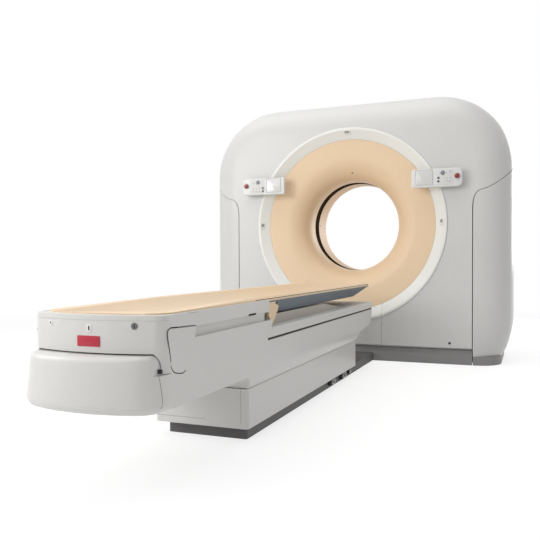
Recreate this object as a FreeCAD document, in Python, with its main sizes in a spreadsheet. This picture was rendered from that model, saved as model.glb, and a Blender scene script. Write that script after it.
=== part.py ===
# Computed tomography scanner: a gantry that tilts between two fixed side covers, the rotating
# x-ray assembly inside it, and a couch that rises on a telescopic column and slides its top.
# Millimetres. The origin is on the floor under the centre of the bore, in the scan plane.
# +Z is up, +Y runs from the couch through the bore, +X is to the right of the couch.
import FreeCAD, Part
import Sketcher
import math
import os
from types import SimpleNamespace

Vector = FreeCAD.Vector
Rotation = FreeCAD.Rotation
Placement = FreeCAD.Placement

doc = FreeCAD.newDocument("ct_scanner")
sheet = doc.addObject("Spreadsheet::Sheet", "sizes")

# ---------------------------------------------------------------- driving dimensions
DRIVING = {
    # gantry, outside
    "iso_height": 1027, "bore_radius": 350, "gantry_half_width": 1171, "gantry_top": 1980,
    "gantry_front": 335, "gantry_rear": 600, "top_corner_radius": 540, "front_round": 235,
    "rear_round": 150, "cover_wall": 6, "plinth_gap": 17, "belly_gap": 16, "access_drop": 300,
    "cover_split_front": 215, "cover_split_rear": 420, "access_half_width": 259,
    "tongue_reach": 12, "tongue_inset": 40, "tongue_drop": 740,
    "panel_seam": 2, "clearance": 0.3,
    # side covers and their feet
    "seam_half_width": 913, "seam_gap": 6, "side_arc_radius": 398, "side_shoulder": 55,
    "side_rear": 396, "side_rear_round": 90, "side_bottom": 64, "side_curve_height": 266,
    "side_curve_inset": 65, "wing_rear_angle": 12, "foot_setback": 72, "foot_front": 320,
    "foot_flat": 8, "foot_wall": 12,
    "side_boss_half": 60, "side_boss_height": 850,
    # funnel, ring and bore
    "throat_front": 110, "throat_rear": 208, "window_half_width": 50, "window_wall": 3,
    "front_flare_round": 180, "ring_inner_radius": 650, "ring_outer_radius": 737,
    "flare_front_depth": 300, "ring_proud": 8, "ring_edge": 18, "ring_rim_edge": 4,
    "ring_flange": 14,
    "ring_flange_step": 3,
    "ring_flange_wall": 8, "rear_flare_round": 250, "rear_flare_radius": 640,
    "funnel_hole_radius": 5, "funnel_hole_height": 409,
    # base, plinths, posts and bearings
    "base_thickness": 45, "base_half_width": 900, "base_ledge": 10,
    "base_cross_front": 110, "base_cross_rear": 340, "base_front": 295, "base_rear": 384,
    "plinth_height": 105, "plinth_front": 320, "plinth_lean": 14, "plinth_wall": 10,
    "plinth_break": 55, "post_inner": 940, "post_setback": 120, "post_foot": 190,
    "post_head": 115, "pin_radius": 70, "bearing_radius": 95, "gearbox_width": 90,
    "gearbox_half_height": 100, "tilt_motor_radius": 42, "tilt_motor_length": 230,
    # tilting frame and main bearing
    "frame_front": 250, "frame_thickness": 35, "frame_radius": 850, "frame_arm_reach": 892,
    "frame_arm_wall": 42, "frame_arm_half_height": 200, "frame_arm_front": 110,
    "frame_bracket_half_width": 150, "hub_inner_radius": 395, "hub_outer_radius": 440,
    "bearing_outer_radius": 520, "bearing_depth": 60, "frame_bore_radius": 455,
    # rotating assembly
    "drum_radius": 800, "drum_front": 100, "drum_thickness": 25, "rim_wall": 14,
    "rim_depth": 150, "tube_radius": 105, "tube_offset": 655, "tube_length": 190,
    "collimator_low": 430, "collimator_low_half": 50, "collimator_high_half": 105,
    "collimator_front": 55, "focus_offset": 570, "focus_to_detector": 1040,
    "detector_depth": 80, "detector_fan": 25, "detector_front": 60, "generator_inner": 480,
    "generator_outer": 750, "generator_half_height": 155, "generator_front": 80,
    "weight_inner": 500, "weight_outer": 745, "weight_half_height": 130, "weight_front": 20,
    "slip_inner_radius": 570, "slip_outer_radius": 650, "slip_depth": 25,
    # control panels on the front cover
    "panel_inner": 490, "panel_outer": 845, "panel_height": 132, "panel_centre": 1341,
    "panel_front": 402, "panel_thickness": 30, "panel_corner": 34, "panel_small_corner": 12,
    "pedestal_inner": 750, "pedestal_outer": 832, "pedestal_half_height": 44,
    "film_thickness": 2, "display_inner": 521, "display_outer": 640, "display_half_height": 52,
    "keypad_inner": 660, "keypad_outer": 780, "keypad_half_height": 52, "pad_height": 1.2,
    "small_pad_radius": 5, "dark_pad_radius": 7, "key_column_inner": 682, "key_column_middle": 741,
    "key_column_outer": 761, "key_row_high": 33, "key_row_middle": -11, "key_row_low": -33,
    "round_key_x": 712, "round_key_radius": 12, "round_key_proud": 5, "round_key_depth": 12,
    "estop_x": 811, "estop_row": 7, "estop_radius": 17, "estop_collar_radius": 10,
    "estop_cap": 12, "estop_travel": 5, "estop_depth": 22,
    "laser_radius": 697, "laser_half_length": 32, "laser_half_width": 19, "laser_proud": 1.5,
    # couch base and duct
    "couch_axis": -1850, "couch_foot": -2668, "couch_plinth_half_width": 188,
    "couch_plinth_height": 58, "couch_plinth_corner": 12, "duct_start": -975,
    "base_cover_half_width": 220, "base_cover_foot": -2727, "base_cover_head": -967,
    "base_cover_top": 224, "base_cover_corner": 16, "base_cover_wall": 5,
    "column_opening": 125,
    # telescopic column and shrouds
    "column_half": 74, "column_wall": 11, "column_slack": 1, "column_top": 402,
    "stage_floor": 6, "stage_step": 6, "stage_rise": 0.8, "shroud_wall": 4, "shroud_gap": 4,
    "shroud_softening": 34,
    "shroud_top": 413, "frame_plate_inset": 40,
    # upper body of the couch
    "body_half_width": 250, "body_skirt": 226, "body_shoulder": 300, "beam_bottom": 285,
    "body_foot": -3392, "body_head": -620, "body_wall": 5, "beam_start": -2790,
    "skirt_foot": -2690, "skirt_lip": -2722, "body_low_top": 462, "body_high_top": 495, "body_end_top": 527,
    "rim_rise_foot": 12, "rim_rise_head": 5, "high_wall_end": -2533, "end_shoulder": -3227, "body_nose_round": 108,
    "body_nose_top": 410, "body_slope_start": -740, "body_slope_low": 282,
    "body_slope_end": -940, "body_step_top": 262, "deck_top": 430, "deck_wall": 5,
    "channel_half_width": 235,
    "rail_channel_half": 178, "slot_start": -2580, "slot_depth": 3, "slot_low": 410, "slot_high": 420,
    "frame_plate": 7, "frame_plate_half": 190,
    # foot end cover and pod
    "end_half_width": 252, "end_front": 3475, "end_bow": 700, "end_corner": 48,
    "end_bottom": 464, "lip_seam": 566, "lip_top": 582, "seam": 0.5, "end_wall": 6,
    "leg_bottom": 401, "leg_inner": 238,
    "leg_inner_top": 219, "leg_round": 47,
    "leg_knee": 424, "leg_front": 3440, "pod_half_width": 262,
    "pod_front": 3546, "pod_bow": 600, "pod_corner": 105, "pod_bottom": 281, "pod_top": 459,
    "pod_round": 32, "plate_left": -38, "plate_right": 47, "plate_low": 483, "plate_high": 517,
    "plate_thickness": 1.5,
    # table top, carriage and slide drive
    "top_half_width": 240, "top_head": -680, "top_foot": -3438, "top_foot_corner": 90,
    "trough_radius": 430, "trough_low": 548, "trough_half_width": 195, "rim_top": 597,
    "rim_edge": 588, "rim_bottom": 570, "rim_corner": 224, "top_wall": 8, "foot_level": 586,
    "foot_rise": 800,
    "foot_ramp": 560,
    "keel_half_width": 236, "keel_low_half_width": 200, "keel_bottom": 515,
    "keel_foot": -2423, "keel_head": -700, "keel_low_head": -945, "trim_wall": 9,
    "trim_bottom": 532, "trim_top": 583, "trim_end": -2567,
    "carriage_head": -2543, "carriage_nose_gap": 5, "carriage_half_width": 195,
    "carriage_bottom": 475, "carriage_shelf": 529, "carriage_floor": 8, "carriage_cheek": 45,
    "carriage_roof": 532, "bracket_thickness": 12, "bracket_tip": 467, "bracket_knee": 503,
    "bracket_root": 40, "bracket_back": 35, "bracket_tip_reach": 28, "bracket_toe": 90,
    "bracket_toe_rise": 9, "bracket_reach": 108, "bracket_drop": 20, "bracket_notch": 62,
    "bracket_lip": 7, "bracket_top_reach": 80,
    "rail_offset": 150, "rail_half_width": 10, "rail_height": 18, "rail_foot": -3360,
    "rail_head": -660, "block_half_width": 25, "block_length": 80, "block_inset": 40,
    "pulley_radius": 13.5, "belt_thickness": 2, "belt_half_width": 10, "belt_lift": 1,
    "pulley_half_width": 12, "pulley_foot": -3335, "pulley_head": -690, "shaft_radius": 5,
    "cheek_wall": 7, "cheek_half_length": 11, "clamp_half_width": 14, "clamp_start": -3050,
    "clamp_length": 50, "drive_motor_length": 95, "drive_motor_half": 32,
    "drive_motor_height": 38,
}


class Size:
    """A number together with the spreadsheet expression that gives it."""

    def __init__(self, text, value):
        self.text = text
        self.value = value

    def __add__(self, other):
        other = sized(other)
        return Size(f"({self.text} + {other.text})", self.value + other.value)

    def __sub__(self, other):
        other = sized(other)
        return Size(f"({self.text} - {other.text})", self.value - other.value)

    def __mul__(self, other):
        other = sized(other)
        return Size(f"({self.text} * {other.text})", self.value * other.value)

    def __truediv__(self, other):
        other = sized(other)
        return Size(f"({self.text} / {other.text})", self.value / other.value)

    def __radd__(self, other):
        return sized(other) + self

    def __rsub__(self, other):
        return sized(other) - self

    def __rmul__(self, other):
        return sized(other) * self

    def __neg__(self):
        return Size(f"(0 - {self.text})", -self.value)


def sized(amount):
    return amount if isinstance(amount, Size) else Size(f"({amount})", float(amount))


def root(amount):
    return Size(f"sqrt({amount.text})", math.sqrt(amount.value))


def sine(angle):
    angle = sized(angle)
    return Size(f"sin({angle.text})", math.sin(math.radians(angle.value)))


def cosine(angle):
    angle = sized(angle)
    return Size(f"cos({angle.text})", math.cos(math.radians(angle.value)))


size = SimpleNamespace()
for row, (alias, number) in enumerate(DRIVING.items(), start=1):
    sheet.set(f"A{row}", alias)
    sheet.set(f"B{row}", str(number))
    sheet.setAlias(f"B{row}", alias)
    setattr(size, alias, Size(f"sizes.{alias}", float(number)))
doc.recompute()

FAR = 6000
nodes = {}


# ---------------------------------------------------------------- construction helpers
def bind(thing, path, amount):
    thing.setExpression(path, sized(amount).text)


def block(name, x, y, z):
    """A box between a low and a high value on each axis."""
    box = doc.addObject("Part::Box", name)
    for side, (low, high) in zip(("Length", "Width", "Height"), (x, y, z)):
        bind(box, side, sized(high) - low)
    for axis, (low, high) in zip("xyz", (x, y, z)):
        bind(box, f"Placement.Base.{axis}", low)
    return box


ALONG = {"x": Rotation(Vector(0, 1, 0), 90), "y": Rotation(Vector(1, 0, 0), -90), "z": Rotation()}


def rod(name, axis, radius, start, end, centre):
    """A cylinder along an axis; centre holds the other two coordinates in x, y, z order."""
    cylinder = doc.addObject("Part::Cylinder", name)
    cylinder.Placement = Placement(Vector(), ALONG[axis])
    bind(cylinder, "Radius", radius)
    bind(cylinder, "Height", sized(end) - start)
    across = iter(centre)
    for letter in "xyz":
        bind(cylinder, f"Placement.Base.{letter}", start if letter == axis else next(across))
    return cylinder


def cut(name, base, tool):
    result = doc.addObject("Part::Cut", name)
    result.Base = base
    result.Tool = tool
    return result


def fuse(name, *parts):
    result = doc.addObject("Part::MultiFuse", name)
    result.Shapes = list(parts)
    return result


def common(name, first, second):
    result = doc.addObject("Part::Common", name)
    result.Base = first
    result.Tool = second
    return result


def mirrored(name, source):
    """The same shape on the other side of the plane x = 0."""
    result = doc.addObject("Part::Mirroring", name)
    result.Source = source
    result.Normal = Vector(1, 0, 0)
    return result


def tube(name, axis, inner, outer, start, end, centre):
    outside = rod(name + "_outside", axis, outer, start, end, centre)
    inside = rod(name + "_inside", axis, inner, sized(start) - 1, sized(end) + 1, centre)
    return cut(name, outside, inside)


def arc_between(first, last, radius, turn):
    """Counter-clockwise arc between two points; turn 1 has its centre left of first to last."""
    middle = (first + last) * 0.5
    chord = last - first
    left = Vector(-chord.y, chord.x, 0).normalize() * turn
    rise = math.sqrt(max(radius * radius - chord.Length ** 2 / 4, 0))
    centre = middle + left * rise
    start, stop = (first, last) if turn > 0 else (last, first)
    begin = math.atan2(start.y - centre.y, start.x - centre.x)
    finish = math.atan2(stop.y - centre.y, stop.x - centre.x)
    if finish <= begin:
        finish += 2 * math.pi
    return Part.ArcOfCircle(Part.Circle(centre, Vector(0, 0, 1), radius), begin, finish)


def draw(body, name, plane, points):
    """A closed, fully constrained outline. A point is (u, v) or (u, v, radius, turn), where the
    last two bend the stretch to the next point."""
    sketch = body.newObject("Sketcher::SketchObject", name)
    origin_plane = [part for part in body.Origin.OriginFeatures if part.Role == plane][0]
    sketch.AttachmentSupport = (origin_plane, [""])
    sketch.MapMode = "FlatFace"
    corners = [Vector(sized(point[0]).value, sized(point[1]).value, 0) for point in points]
    starts = []
    for index, point in enumerate(points):
        here = corners[index]
        there = corners[(index + 1) % len(points)]
        if len(point) == 4:
            sketch.addGeometry(arc_between(here, there, sized(point[2]).value, point[3]))
            starts.append((1, 2) if point[3] > 0 else (2, 1))
        else:
            sketch.addGeometry(Part.LineSegment(here, there))
            starts.append((1, 2))
    for index, point in enumerate(points):
        after = (index + 1) % len(points)
        joint = Sketcher.Constraint("Coincident", index, starts[index][1], after, starts[after][0])
        sketch.addConstraint(joint)
    for index, point in enumerate(points):
        for kind, amount in (("DistanceX", point[0]), ("DistanceY", point[1])):
            amount = sized(amount)
            place = Sketcher.Constraint(kind, -1, 1, index, starts[index][0], amount.value)
            number = sketch.addConstraint(place)
            sketch.setExpression(f"Constraints[{number}]", amount.text)
        if len(point) == 4:
            bend = Sketcher.Constraint("Radius", index, sized(point[2]).value)
            number = sketch.addConstraint(bend)
            sketch.setExpression(f"Constraints[{number}]", sized(point[2]).text)
    return sketch


PLANES = {"xy": "XY_Plane", "xz": "XZ_Plane", "yz": "YZ_Plane"}


def prism(name, plane, points, start, end):
    """An outline drawn in a plane and padded from start to end across it."""
    body = doc.addObject("PartDesign::Body", name)
    outline = draw(body, name + "_outline", PLANES[plane], points)
    bind(outline, "AttachmentOffset.Base.z", -sized(end) if plane == "xz" else start)
    pad = body.newObject("PartDesign::Pad", name + "_pad")
    pad.Profile = outline
    bind(pad, "Length", sized(end) - start)
    return body


def turned(name, axis, points):
    """An outline of (along, radius) points turned about the line through the bore centre."""
    body = doc.addObject("PartDesign::Body", name)
    outline = draw(body, name + "_outline", {"x": "XZ_Plane", "y": "YZ_Plane"}[axis], points)
    bind(outline, "AttachmentOffset.Base.y", size.iso_height)
    turn = body.newObject("PartDesign::Revolution", name + "_turn")
    turn.Profile = outline
    turn.ReferenceAxis = (outline, ["H_Axis"])
    turn.Angle = 360
    return body


def round_edges(body, radius, chosen):
    """Rounds the edges of the body that the test picks."""
    doc.recompute()
    before = body.Tip
    edges = [f"Edge{i}" for i, edge in enumerate(before.Shape.Edges, start=1) if chosen(edge)]
    fillet = body.newObject("PartDesign::Fillet", body.Name + "_round")
    fillet.Base = (before, edges)
    bind(fillet, "Radius", radius)
    body.Tip = fillet
    return body


def lies_at(edge, axis, amount):
    low = getattr(edge.BoundBox, axis.upper() + "Min")
    high = getattr(edge.BoundBox, axis.upper() + "Max")
    return abs(low - sized(amount).value) < 0.01 and abs(high - sized(amount).value) < 0.01


def keep(name, shape):
    """Names a finished sub-part."""
    shape.Label = name
    nodes[name] = shape
    return shape


AXIS = (sized(0), size.iso_height)      # x, z of the bore axis; also y, z of the tilt axis
POST_OUTER = size.gantry_half_width - size.post_setback
COVER_BOTTOM = size.plinth_height + size.plinth_gap
BELLY_RADIUS = size.iso_height - size.base_thickness - size.belly_gap
WEDGES = 12
BELOW_AXIS = size.iso_height - size.access_drop


# ---------------------------------------------------------------- gantry outline
def gantry_block(name, inset, rear, rear_round):
    """The outer form of the gantry, drawn inwards by an inset, with its soft front border."""
    curve = (size.side_curve_inset * size.side_curve_inset
             + size.side_curve_height * size.side_curve_height) / (2 * size.side_curve_inset)
    half = size.gantry_half_width - inset
    top = size.gantry_top - inset
    corner = size.top_corner_radius - inset
    bend = curve - inset
    low_half = (size.gantry_half_width - curve
                + root(bend * bend - size.side_curve_height * size.side_curve_height))
    knee = size.side_bottom + size.side_curve_height
    points = [
        (low_half, size.side_bottom, bend, 1),
        (half, knee),
        (half, top - corner, corner, 1),
        (half - corner, top),
        (corner - half, top, corner, 1),
        (-half, top - corner),
        (-half, knee, bend, 1),
        (-low_half, size.side_bottom),
    ]
    front = inset - size.gantry_front
    form = prism(name, "xz", points, front, rear - inset)
    above = size.side_bottom.value + 1
    round_edges(form, size.front_round - inset,
                lambda edge: lies_at(edge, "y", front) and edge.CenterOfMass.z > above)
    round_edges(form, rear_round - inset,
                lambda edge: lies_at(edge, "y", rear - inset) and edge.CenterOfMass.z > above)
    return form


def side_space(name, growth):
    """The room of the right side cover: a drum about the tilt axis standing on a block."""
    start = size.seam_half_width - growth
    reach = size.side_arc_radius + growth
    shoulder = size.side_shoulder + growth
    far = size.gantry_half_width + 100
    drum = turned(name + "_drum", "x", [
        (start, 0), (far, 0), (far, reach), (start + shoulder, reach, shoulder, 1),
        (start, reach - shoulder)])
    stand = block(name + "_stand", (start, far), (-FAR, FAR), (-100, size.iso_height))
    return fuse(name, drum, stand)


# ---------------------------------------------------------------- fixed side covers
def side_covers():
    outside = common("side_outside", gantry_block("side_form", sized(0), size.side_rear,
                                                  size.side_rear_round),
                     side_space("side_room", sized(0)))
    inside = common("side_inside", gantry_block("side_form_inner", size.cover_wall,
                                                size.side_rear, size.side_rear_round),
                    side_space("side_room_inner", -size.cover_wall))
    shell = cut("side_shell", outside, inside)
    opening = rod("side_pin_opening", "x", size.bearing_radius,
                  size.seam_half_width - 1, size.post_inner, AXIS)
    half = size.side_boss_half
    boss = block("side_boss", (size.seam_half_width + size.cover_wall,
                               size.post_inner - size.clearance), (-half, half),
                 (size.side_boss_height - half / 2, size.side_boss_height + half / 2))
    right = keep("side_cover_right", fuse("side_cover_right", cut("side_open", shell, opening),
                                          boss))
    keep("side_cover_left", mirrored("side_cover_left", right))


def side_feet():
    def skirt(name, inset, low, high):
        side = size.gantry_half_width - size.foot_setback - inset
        front = inset - size.foot_front
        corner = side - size.seam_half_width - size.foot_flat
        start = size.seam_half_width - (inset * 2)
        rear = size.side_rear - inset - 11
        return prism(name, "xy", [(start, front), (side - corner, front, corner, 1),
                                  (side, front + corner), (side, rear), (start, rear)], low, high)
    outer = skirt("foot_outer", sized(0), 0, size.side_bottom)
    inner = skirt("foot_inner", size.foot_wall, -1, size.side_bottom + 1)
    right = cut("foot_right", outer, inner)
    keep("side_feet", fuse("side_feet", right, mirrored("foot_left", right)))


# ---------------------------------------------------------------- tilting covers
def tilting_shell():
    """Everything that tilts, as one closed skin, before it is parted into covers."""
    def form(name, inset):
        body = gantry_block(name + "_form", inset, size.gantry_rear, size.rear_round)
        room = side_space(name + "_room", size.seam_gap + inset)
        wedge = doc.addObject("Part::Box", name + "_wedge")
        start = size.seam_half_width - size.seam_gap - inset
        bind(wedge, "Length", FAR)
        bind(wedge, "Width", FAR)
        bind(wedge, "Height", FAR)
        wedge.Placement = Placement(Vector(), Rotation(Vector(1, 0, 0), 0))
        wedge.setExpression("Placement.Rotation.Axis.x", "1")
        wedge.setExpression("Placement.Rotation.Axis.z", "0")
        bind(wedge, "Placement.Rotation.Angle", size.wing_rear_angle)
        drop = FAR - inset
        bind(wedge, "Placement.Base.x", start)
        bind(wedge, "Placement.Base.y", drop * sine(size.wing_rear_angle))
        bind(wedge, "Placement.Base.z", size.iso_height - drop * cosine(size.wing_rear_angle))
        right = fuse(name + "_right", room, wedge)
        below = block(name + "_below", (-FAR, FAR), (-FAR, FAR), (-FAR, BELOW_AXIS))
        drum = rod(name + "_drum", "x", BELLY_RADIUS - inset, -FAR, FAR, AXIS)
        under = cut(name + "_under", below, drum)
        lip = block(name + "_lip", (-FAR, FAR), (-FAR, inset - size.base_front),
                    (-FAR, COVER_BOTTOM + inset))
        away = fuse(name + "_away", right, mirrored(name + "_left", right), under, lip)
        return cut(name, body, away)
    return cut("tilting_shell", form("tilting_outside", sized(0)),
               form("tilting_inside", size.cover_wall))


def tilting_covers():
    shell = tilting_shell()
    split_front = -size.cover_split_front
    split_rear = size.cover_split_rear
    wide = (-FAR, FAR)
    ring_opening = rod("ring_opening", "y", size.ring_outer_radius + size.panel_seam,
                       -FAR, split_front, AXIS)
    front = cut("front_open", common("front_piece", shell,
                                     block("front_room", wide, (-FAR, split_front), (-FAR, FAR))),
                ring_opening)
    gap = size.panel_seam / 2
    access_top = BELOW_AXIS
    access = block("access_room", (gap - size.access_half_width, size.access_half_width - gap),
                   wide, (-FAR, access_top))
    around = block("access_gap", (-size.access_half_width - gap, size.access_half_width + gap),
                   wide, (-FAR, access_top))
    keep("front_cover", cut("front_cover", front, around))
    back = size.cover_wall - size.gantry_front
    edge = size.access_half_width - gap
    height = (COVER_BOTTOM + size.tongue_inset, size.iso_height - size.tongue_drop)
    stem = block("tongue_root", (edge - size.tongue_reach, edge),
                 (back, back + size.cover_wall + size.clearance), height)
    tip = block("tongue_tip", (edge - 1, edge + size.tongue_reach),
                (back + size.clearance, back + size.cover_wall + size.clearance), height)
    tongue = fuse("tongue_right", stem, tip)
    keep("lower_front_panel", fuse("lower_front_panel", common("access_skin", front, access),
                                   tongue, mirrored("tongue_left", tongue)))
    middle = common("middle_piece", shell, block("middle_room", wide, (split_front, split_rear),
                                                 (-FAR, FAR)))
    pins = rod("pin_openings", "x", size.pin_radius + size.panel_seam * 2, -FAR, FAR, AXIS)
    keep("middle_shell", cut("middle_shell", middle, pins))
    rear_opening = rod("rear_opening", "y", size.rear_flare_radius + size.cover_wall
                       + size.clearance,
                       split_rear, FAR, AXIS)
    keep("rear_cover", cut("rear_cover", common("rear_piece", shell, block(
        "rear_room", wide, (split_rear, FAR), (-FAR, FAR))), rear_opening))


def flare(name, window, throat, round_radius, end_radius, end, facing):
    """A funnel turned about the bore: throat, rounded lip and a straight cone to its rim."""
    wall = size.cover_wall
    bore = size.bore_radius
    centre = bore + round_radius
    across = end_radius - centre
    deep = end - throat
    square = across * across + deep * deep
    straight = root(square - round_radius * round_radius)
    sin_turn = (across * straight + deep * round_radius) / square
    cos_turn = (deep * straight - across * round_radius) / square
    back = round_radius - wall
    outline = [
        (facing * window, bore),
        (facing * throat, bore, round_radius, facing),
        (facing * (throat + round_radius * sin_turn), centre - round_radius * cos_turn),
        (facing * end, end_radius),
        (facing * (end - wall * sin_turn), end_radius + wall * cos_turn),
        (facing * (throat + back * sin_turn), centre - back * cos_turn, back, -facing),
        (facing * throat, bore + wall),
        (facing * window, bore + wall),
    ]
    return turned(name, "y", outline)


def wedges(name, ring):
    """The same ring as twelve wedges that meet face to face, so that each one is nearly
    convex and collision leaves the bore open."""
    step = 360 / WEDGES
    parts = []
    for index in range(WEDGES):
        first = step / 2 + step * index
        corners = [(0, size.iso_height)]
        for angle in (first, first + step):
            corners.append((FAR * cosine(angle), size.iso_height + FAR * sine(angle)))
        room = prism(f"{name}_room_{index}", "xz", corners, -size.gantry_rear,
                     size.gantry_rear + 1)
        parts.append(common(f"{name}_wedge_{index}", ring, room))
    whole = doc.addObject("Part::Compound", name)
    whole.Links = parts
    return whole


def bore_parts():
    front = flare("front_flare", size.window_half_width, size.throat_front,
                  size.front_flare_round, size.ring_inner_radius, size.flare_front_depth, -1)
    hole = rod("funnel_hole", "y", size.funnel_hole_radius, -FAR, -size.throat_front,
               (sized(0), size.iso_height + size.funnel_hole_height))
    keep("front_funnel", wedges("front_funnel", cut("front_funnel_ring", front, hole)))
    keep("rear_funnel", wedges("rear_funnel", flare(
        "rear_funnel_ring", size.window_half_width, size.throat_rear, size.rear_flare_round,
        size.rear_flare_radius, size.gantry_rear, 1)))
    keep("scan_window", wedges("scan_window", tube(
        "scan_window_ring", "y", size.bore_radius, size.bore_radius + size.window_wall,
        -size.window_half_width, size.window_half_width, AXIS)))
    front = -(size.gantry_front + size.ring_proud)
    inner = size.ring_inner_radius + size.clearance + size.panel_seam / 2
    outer = size.ring_outer_radius
    back = size.cover_wall - size.gantry_front
    flange = back + size.ring_flange_step
    edge = size.ring_edge
    rim_edge = size.ring_rim_edge
    ring = turned("ring_turned", "y", [
        (size.cover_wall - size.flare_front_depth, inner),
        (-size.flare_front_depth, inner), (front, outer - edge),
        (front, outer - rim_edge, rim_edge, 1), (front + rim_edge, outer),
        (flange, outer), (flange, outer + size.ring_flange),
        (back + size.ring_flange_wall, outer + size.ring_flange),
        (back + size.ring_flange_wall, outer),
        (size.cover_wall - size.flare_front_depth, outer)])
    half = size.panel_seam / 2
    seams = []
    for side in (-1, 1):
        middle = size.access_half_width * side
        seams.append(block(f"ring_seam_{side + 1}", (middle - half, middle + half),
                           (-FAR, FAR), (0, size.iso_height)))
    keep("funnel_ring", cut("funnel_ring", ring, fuse("ring_seams", *seams)))


def laser_windows():
    """Three panes lying on the slanted face of the ring."""
    near = -(size.gantry_front + size.ring_proud) - size.clearance
    far = -size.flare_front_depth - size.clearance
    inner = size.ring_inner_radius + size.clearance + size.panel_seam / 2
    outer = size.ring_outer_radius - size.ring_edge
    panes = turned("laser_panes", "y", [
        (far, inner), (far - size.laser_proud, inner), (near - size.laser_proud, outer),
        (near, outer)])
    out = size.laser_radius
    long_half = size.laser_half_length
    short_half = size.laser_half_width
    y = (near - size.laser_proud - 1, far + 1)
    top = block("laser_top", (-long_half, long_half), y,
                (size.iso_height + out - short_half, size.iso_height + out + short_half))
    right = block("laser_right", (out - short_half, out + short_half), y,
                  (size.iso_height - long_half, size.iso_height + long_half))
    places = fuse("laser_places", top, right, mirrored("laser_left", right))
    keep("laser_windows", common("laser_windows", panes, places))


# ---------------------------------------------------------------- frame, bearing and base
def gantry_frame():
    front = size.frame_front
    back = front + size.frame_thickness
    plate = rod("frame_plate", "y", size.frame_radius, front, back, AXIS)
    low = size.iso_height - size.frame_arm_half_height
    high = size.iso_height + size.frame_arm_half_height
    reach = size.frame_arm_reach
    web = block("frame_web", (-reach, reach), (front, back), (low, high))
    arm = block("frame_arm", (reach - size.frame_arm_wall, reach),
                (-size.frame_arm_front, back), (low, high))
    pin = rod("frame_pin", "x", size.pin_radius, reach, POST_OUTER + size.gearbox_width / 2,
              AXIS)
    pin_left = rod("frame_pin_left", "x", size.pin_radius, -POST_OUTER, -reach, AXIS)
    bracket = block("frame_bracket", (-size.frame_bracket_half_width,
                                      size.frame_bracket_half_width), (front, back),
                    (size.iso_height + size.frame_bore_radius, size.gantry_top - size.cover_wall))
    whole = fuse("frame_whole", plate, web, arm, mirrored("frame_arm_left", arm), pin, pin_left,
                 bracket)
    bore = rod("frame_bore", "y", size.frame_bore_radius, front - 1, back + 1, AXIS)
    keep("gantry_frame", cut("gantry_frame", whole, bore))
    keep("main_bearing", tube("main_bearing", "y", size.hub_outer_radius + size.clearance,
                              size.bearing_outer_radius, front - size.bearing_depth, front,
                              AXIS))


def base_parts():
    top = size.base_thickness
    plate = block("base_main", (-size.base_half_width, size.base_half_width),
                  (-size.base_front, size.base_rear), (0, top))
    cross = block("base_cross", (-(POST_OUTER + size.base_ledge), (POST_OUTER + size.base_ledge)),
                  (-size.base_cross_front, size.base_cross_rear), (0, top))
    keep("base_plate", fuse("base_plate", plate, cross))
    half = size.seam_half_width - size.seam_gap
    front = -size.plinth_front
    wall = size.plinth_wall
    board = prism("plinth_board", "yz", [
        (front, 0), (front + wall, 0), (front + wall, size.plinth_break),
        (front + size.plinth_lean + wall, size.plinth_height),
        (front + size.plinth_lean, size.plinth_height), (front, size.plinth_break)], -half, half)
    notch_half = size.couch_plinth_half_width + size.panel_seam
    notch = block("plinth_notch", (-notch_half, notch_half), (-FAR, 0),
                  (-1, size.couch_plinth_height + size.panel_seam))
    foot = block("plinth_foot", (-half, half), (front + wall, -size.base_front),
                 (0, size.base_thickness))
    keep("front_plinth", cut("front_plinth", fuse("plinth_whole", board, foot), notch))
    keep("rear_plinth", block("rear_plinth", (-half, half),
                              (size.base_rear, size.base_rear + size.foot_wall),
                              (0, size.plinth_height)))


def posts():
    foot = size.post_foot
    head = size.post_head
    axis = size.iso_height
    low = size.base_thickness
    body = prism("post_body", "yz", [
        (-foot, low), (foot, low), (head, axis, head, 1), (0, axis + head, head, 1),
        (-head, axis)], size.post_inner, POST_OUTER)
    window = prism("post_window", "yz", [
        (-foot / 2, low + foot), (foot / 2, low + foot), (head / 2, axis - head * 2),
        (-head / 2, axis - head * 2)], size.post_inner - 1, POST_OUTER + 1)
    bore = rod("post_bore", "x", size.bearing_radius, size.post_inner - 1, POST_OUTER + 1,
               AXIS)
    right = keep("trunnion_post_right", cut("trunnion_post_right", body,
                                            fuse("post_holes", window, bore)))
    keep("trunnion_post_left", mirrored("trunnion_post_left", right))
    bearing = tube("bearing_right", "x", size.pin_radius + size.clearance, size.bearing_radius,
                   size.post_inner, POST_OUTER, AXIS)
    keep("trunnion_bearings", fuse("trunnion_bearings", bearing,
                                   mirrored("bearing_left", bearing)))
    half = size.gearbox_half_height
    start = POST_OUTER
    end = start + size.gearbox_width
    housing = block("gearbox_housing", (start, end), (-half, half),
                    (axis - half, axis + half))
    socket = rod("gearbox_socket", "x", size.pin_radius + size.clearance, start - 1,
                 start + size.gearbox_width / 2 + size.clearance, AXIS)
    motor = rod("tilt_motor", "z", size.tilt_motor_radius, axis - half - size.tilt_motor_length,
                axis - half, ((start + end) / 2, sized(0)))
    keep("tilt_gearmotor", cut("tilt_gearmotor", fuse("gearmotor_whole", housing, motor), socket))


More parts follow.
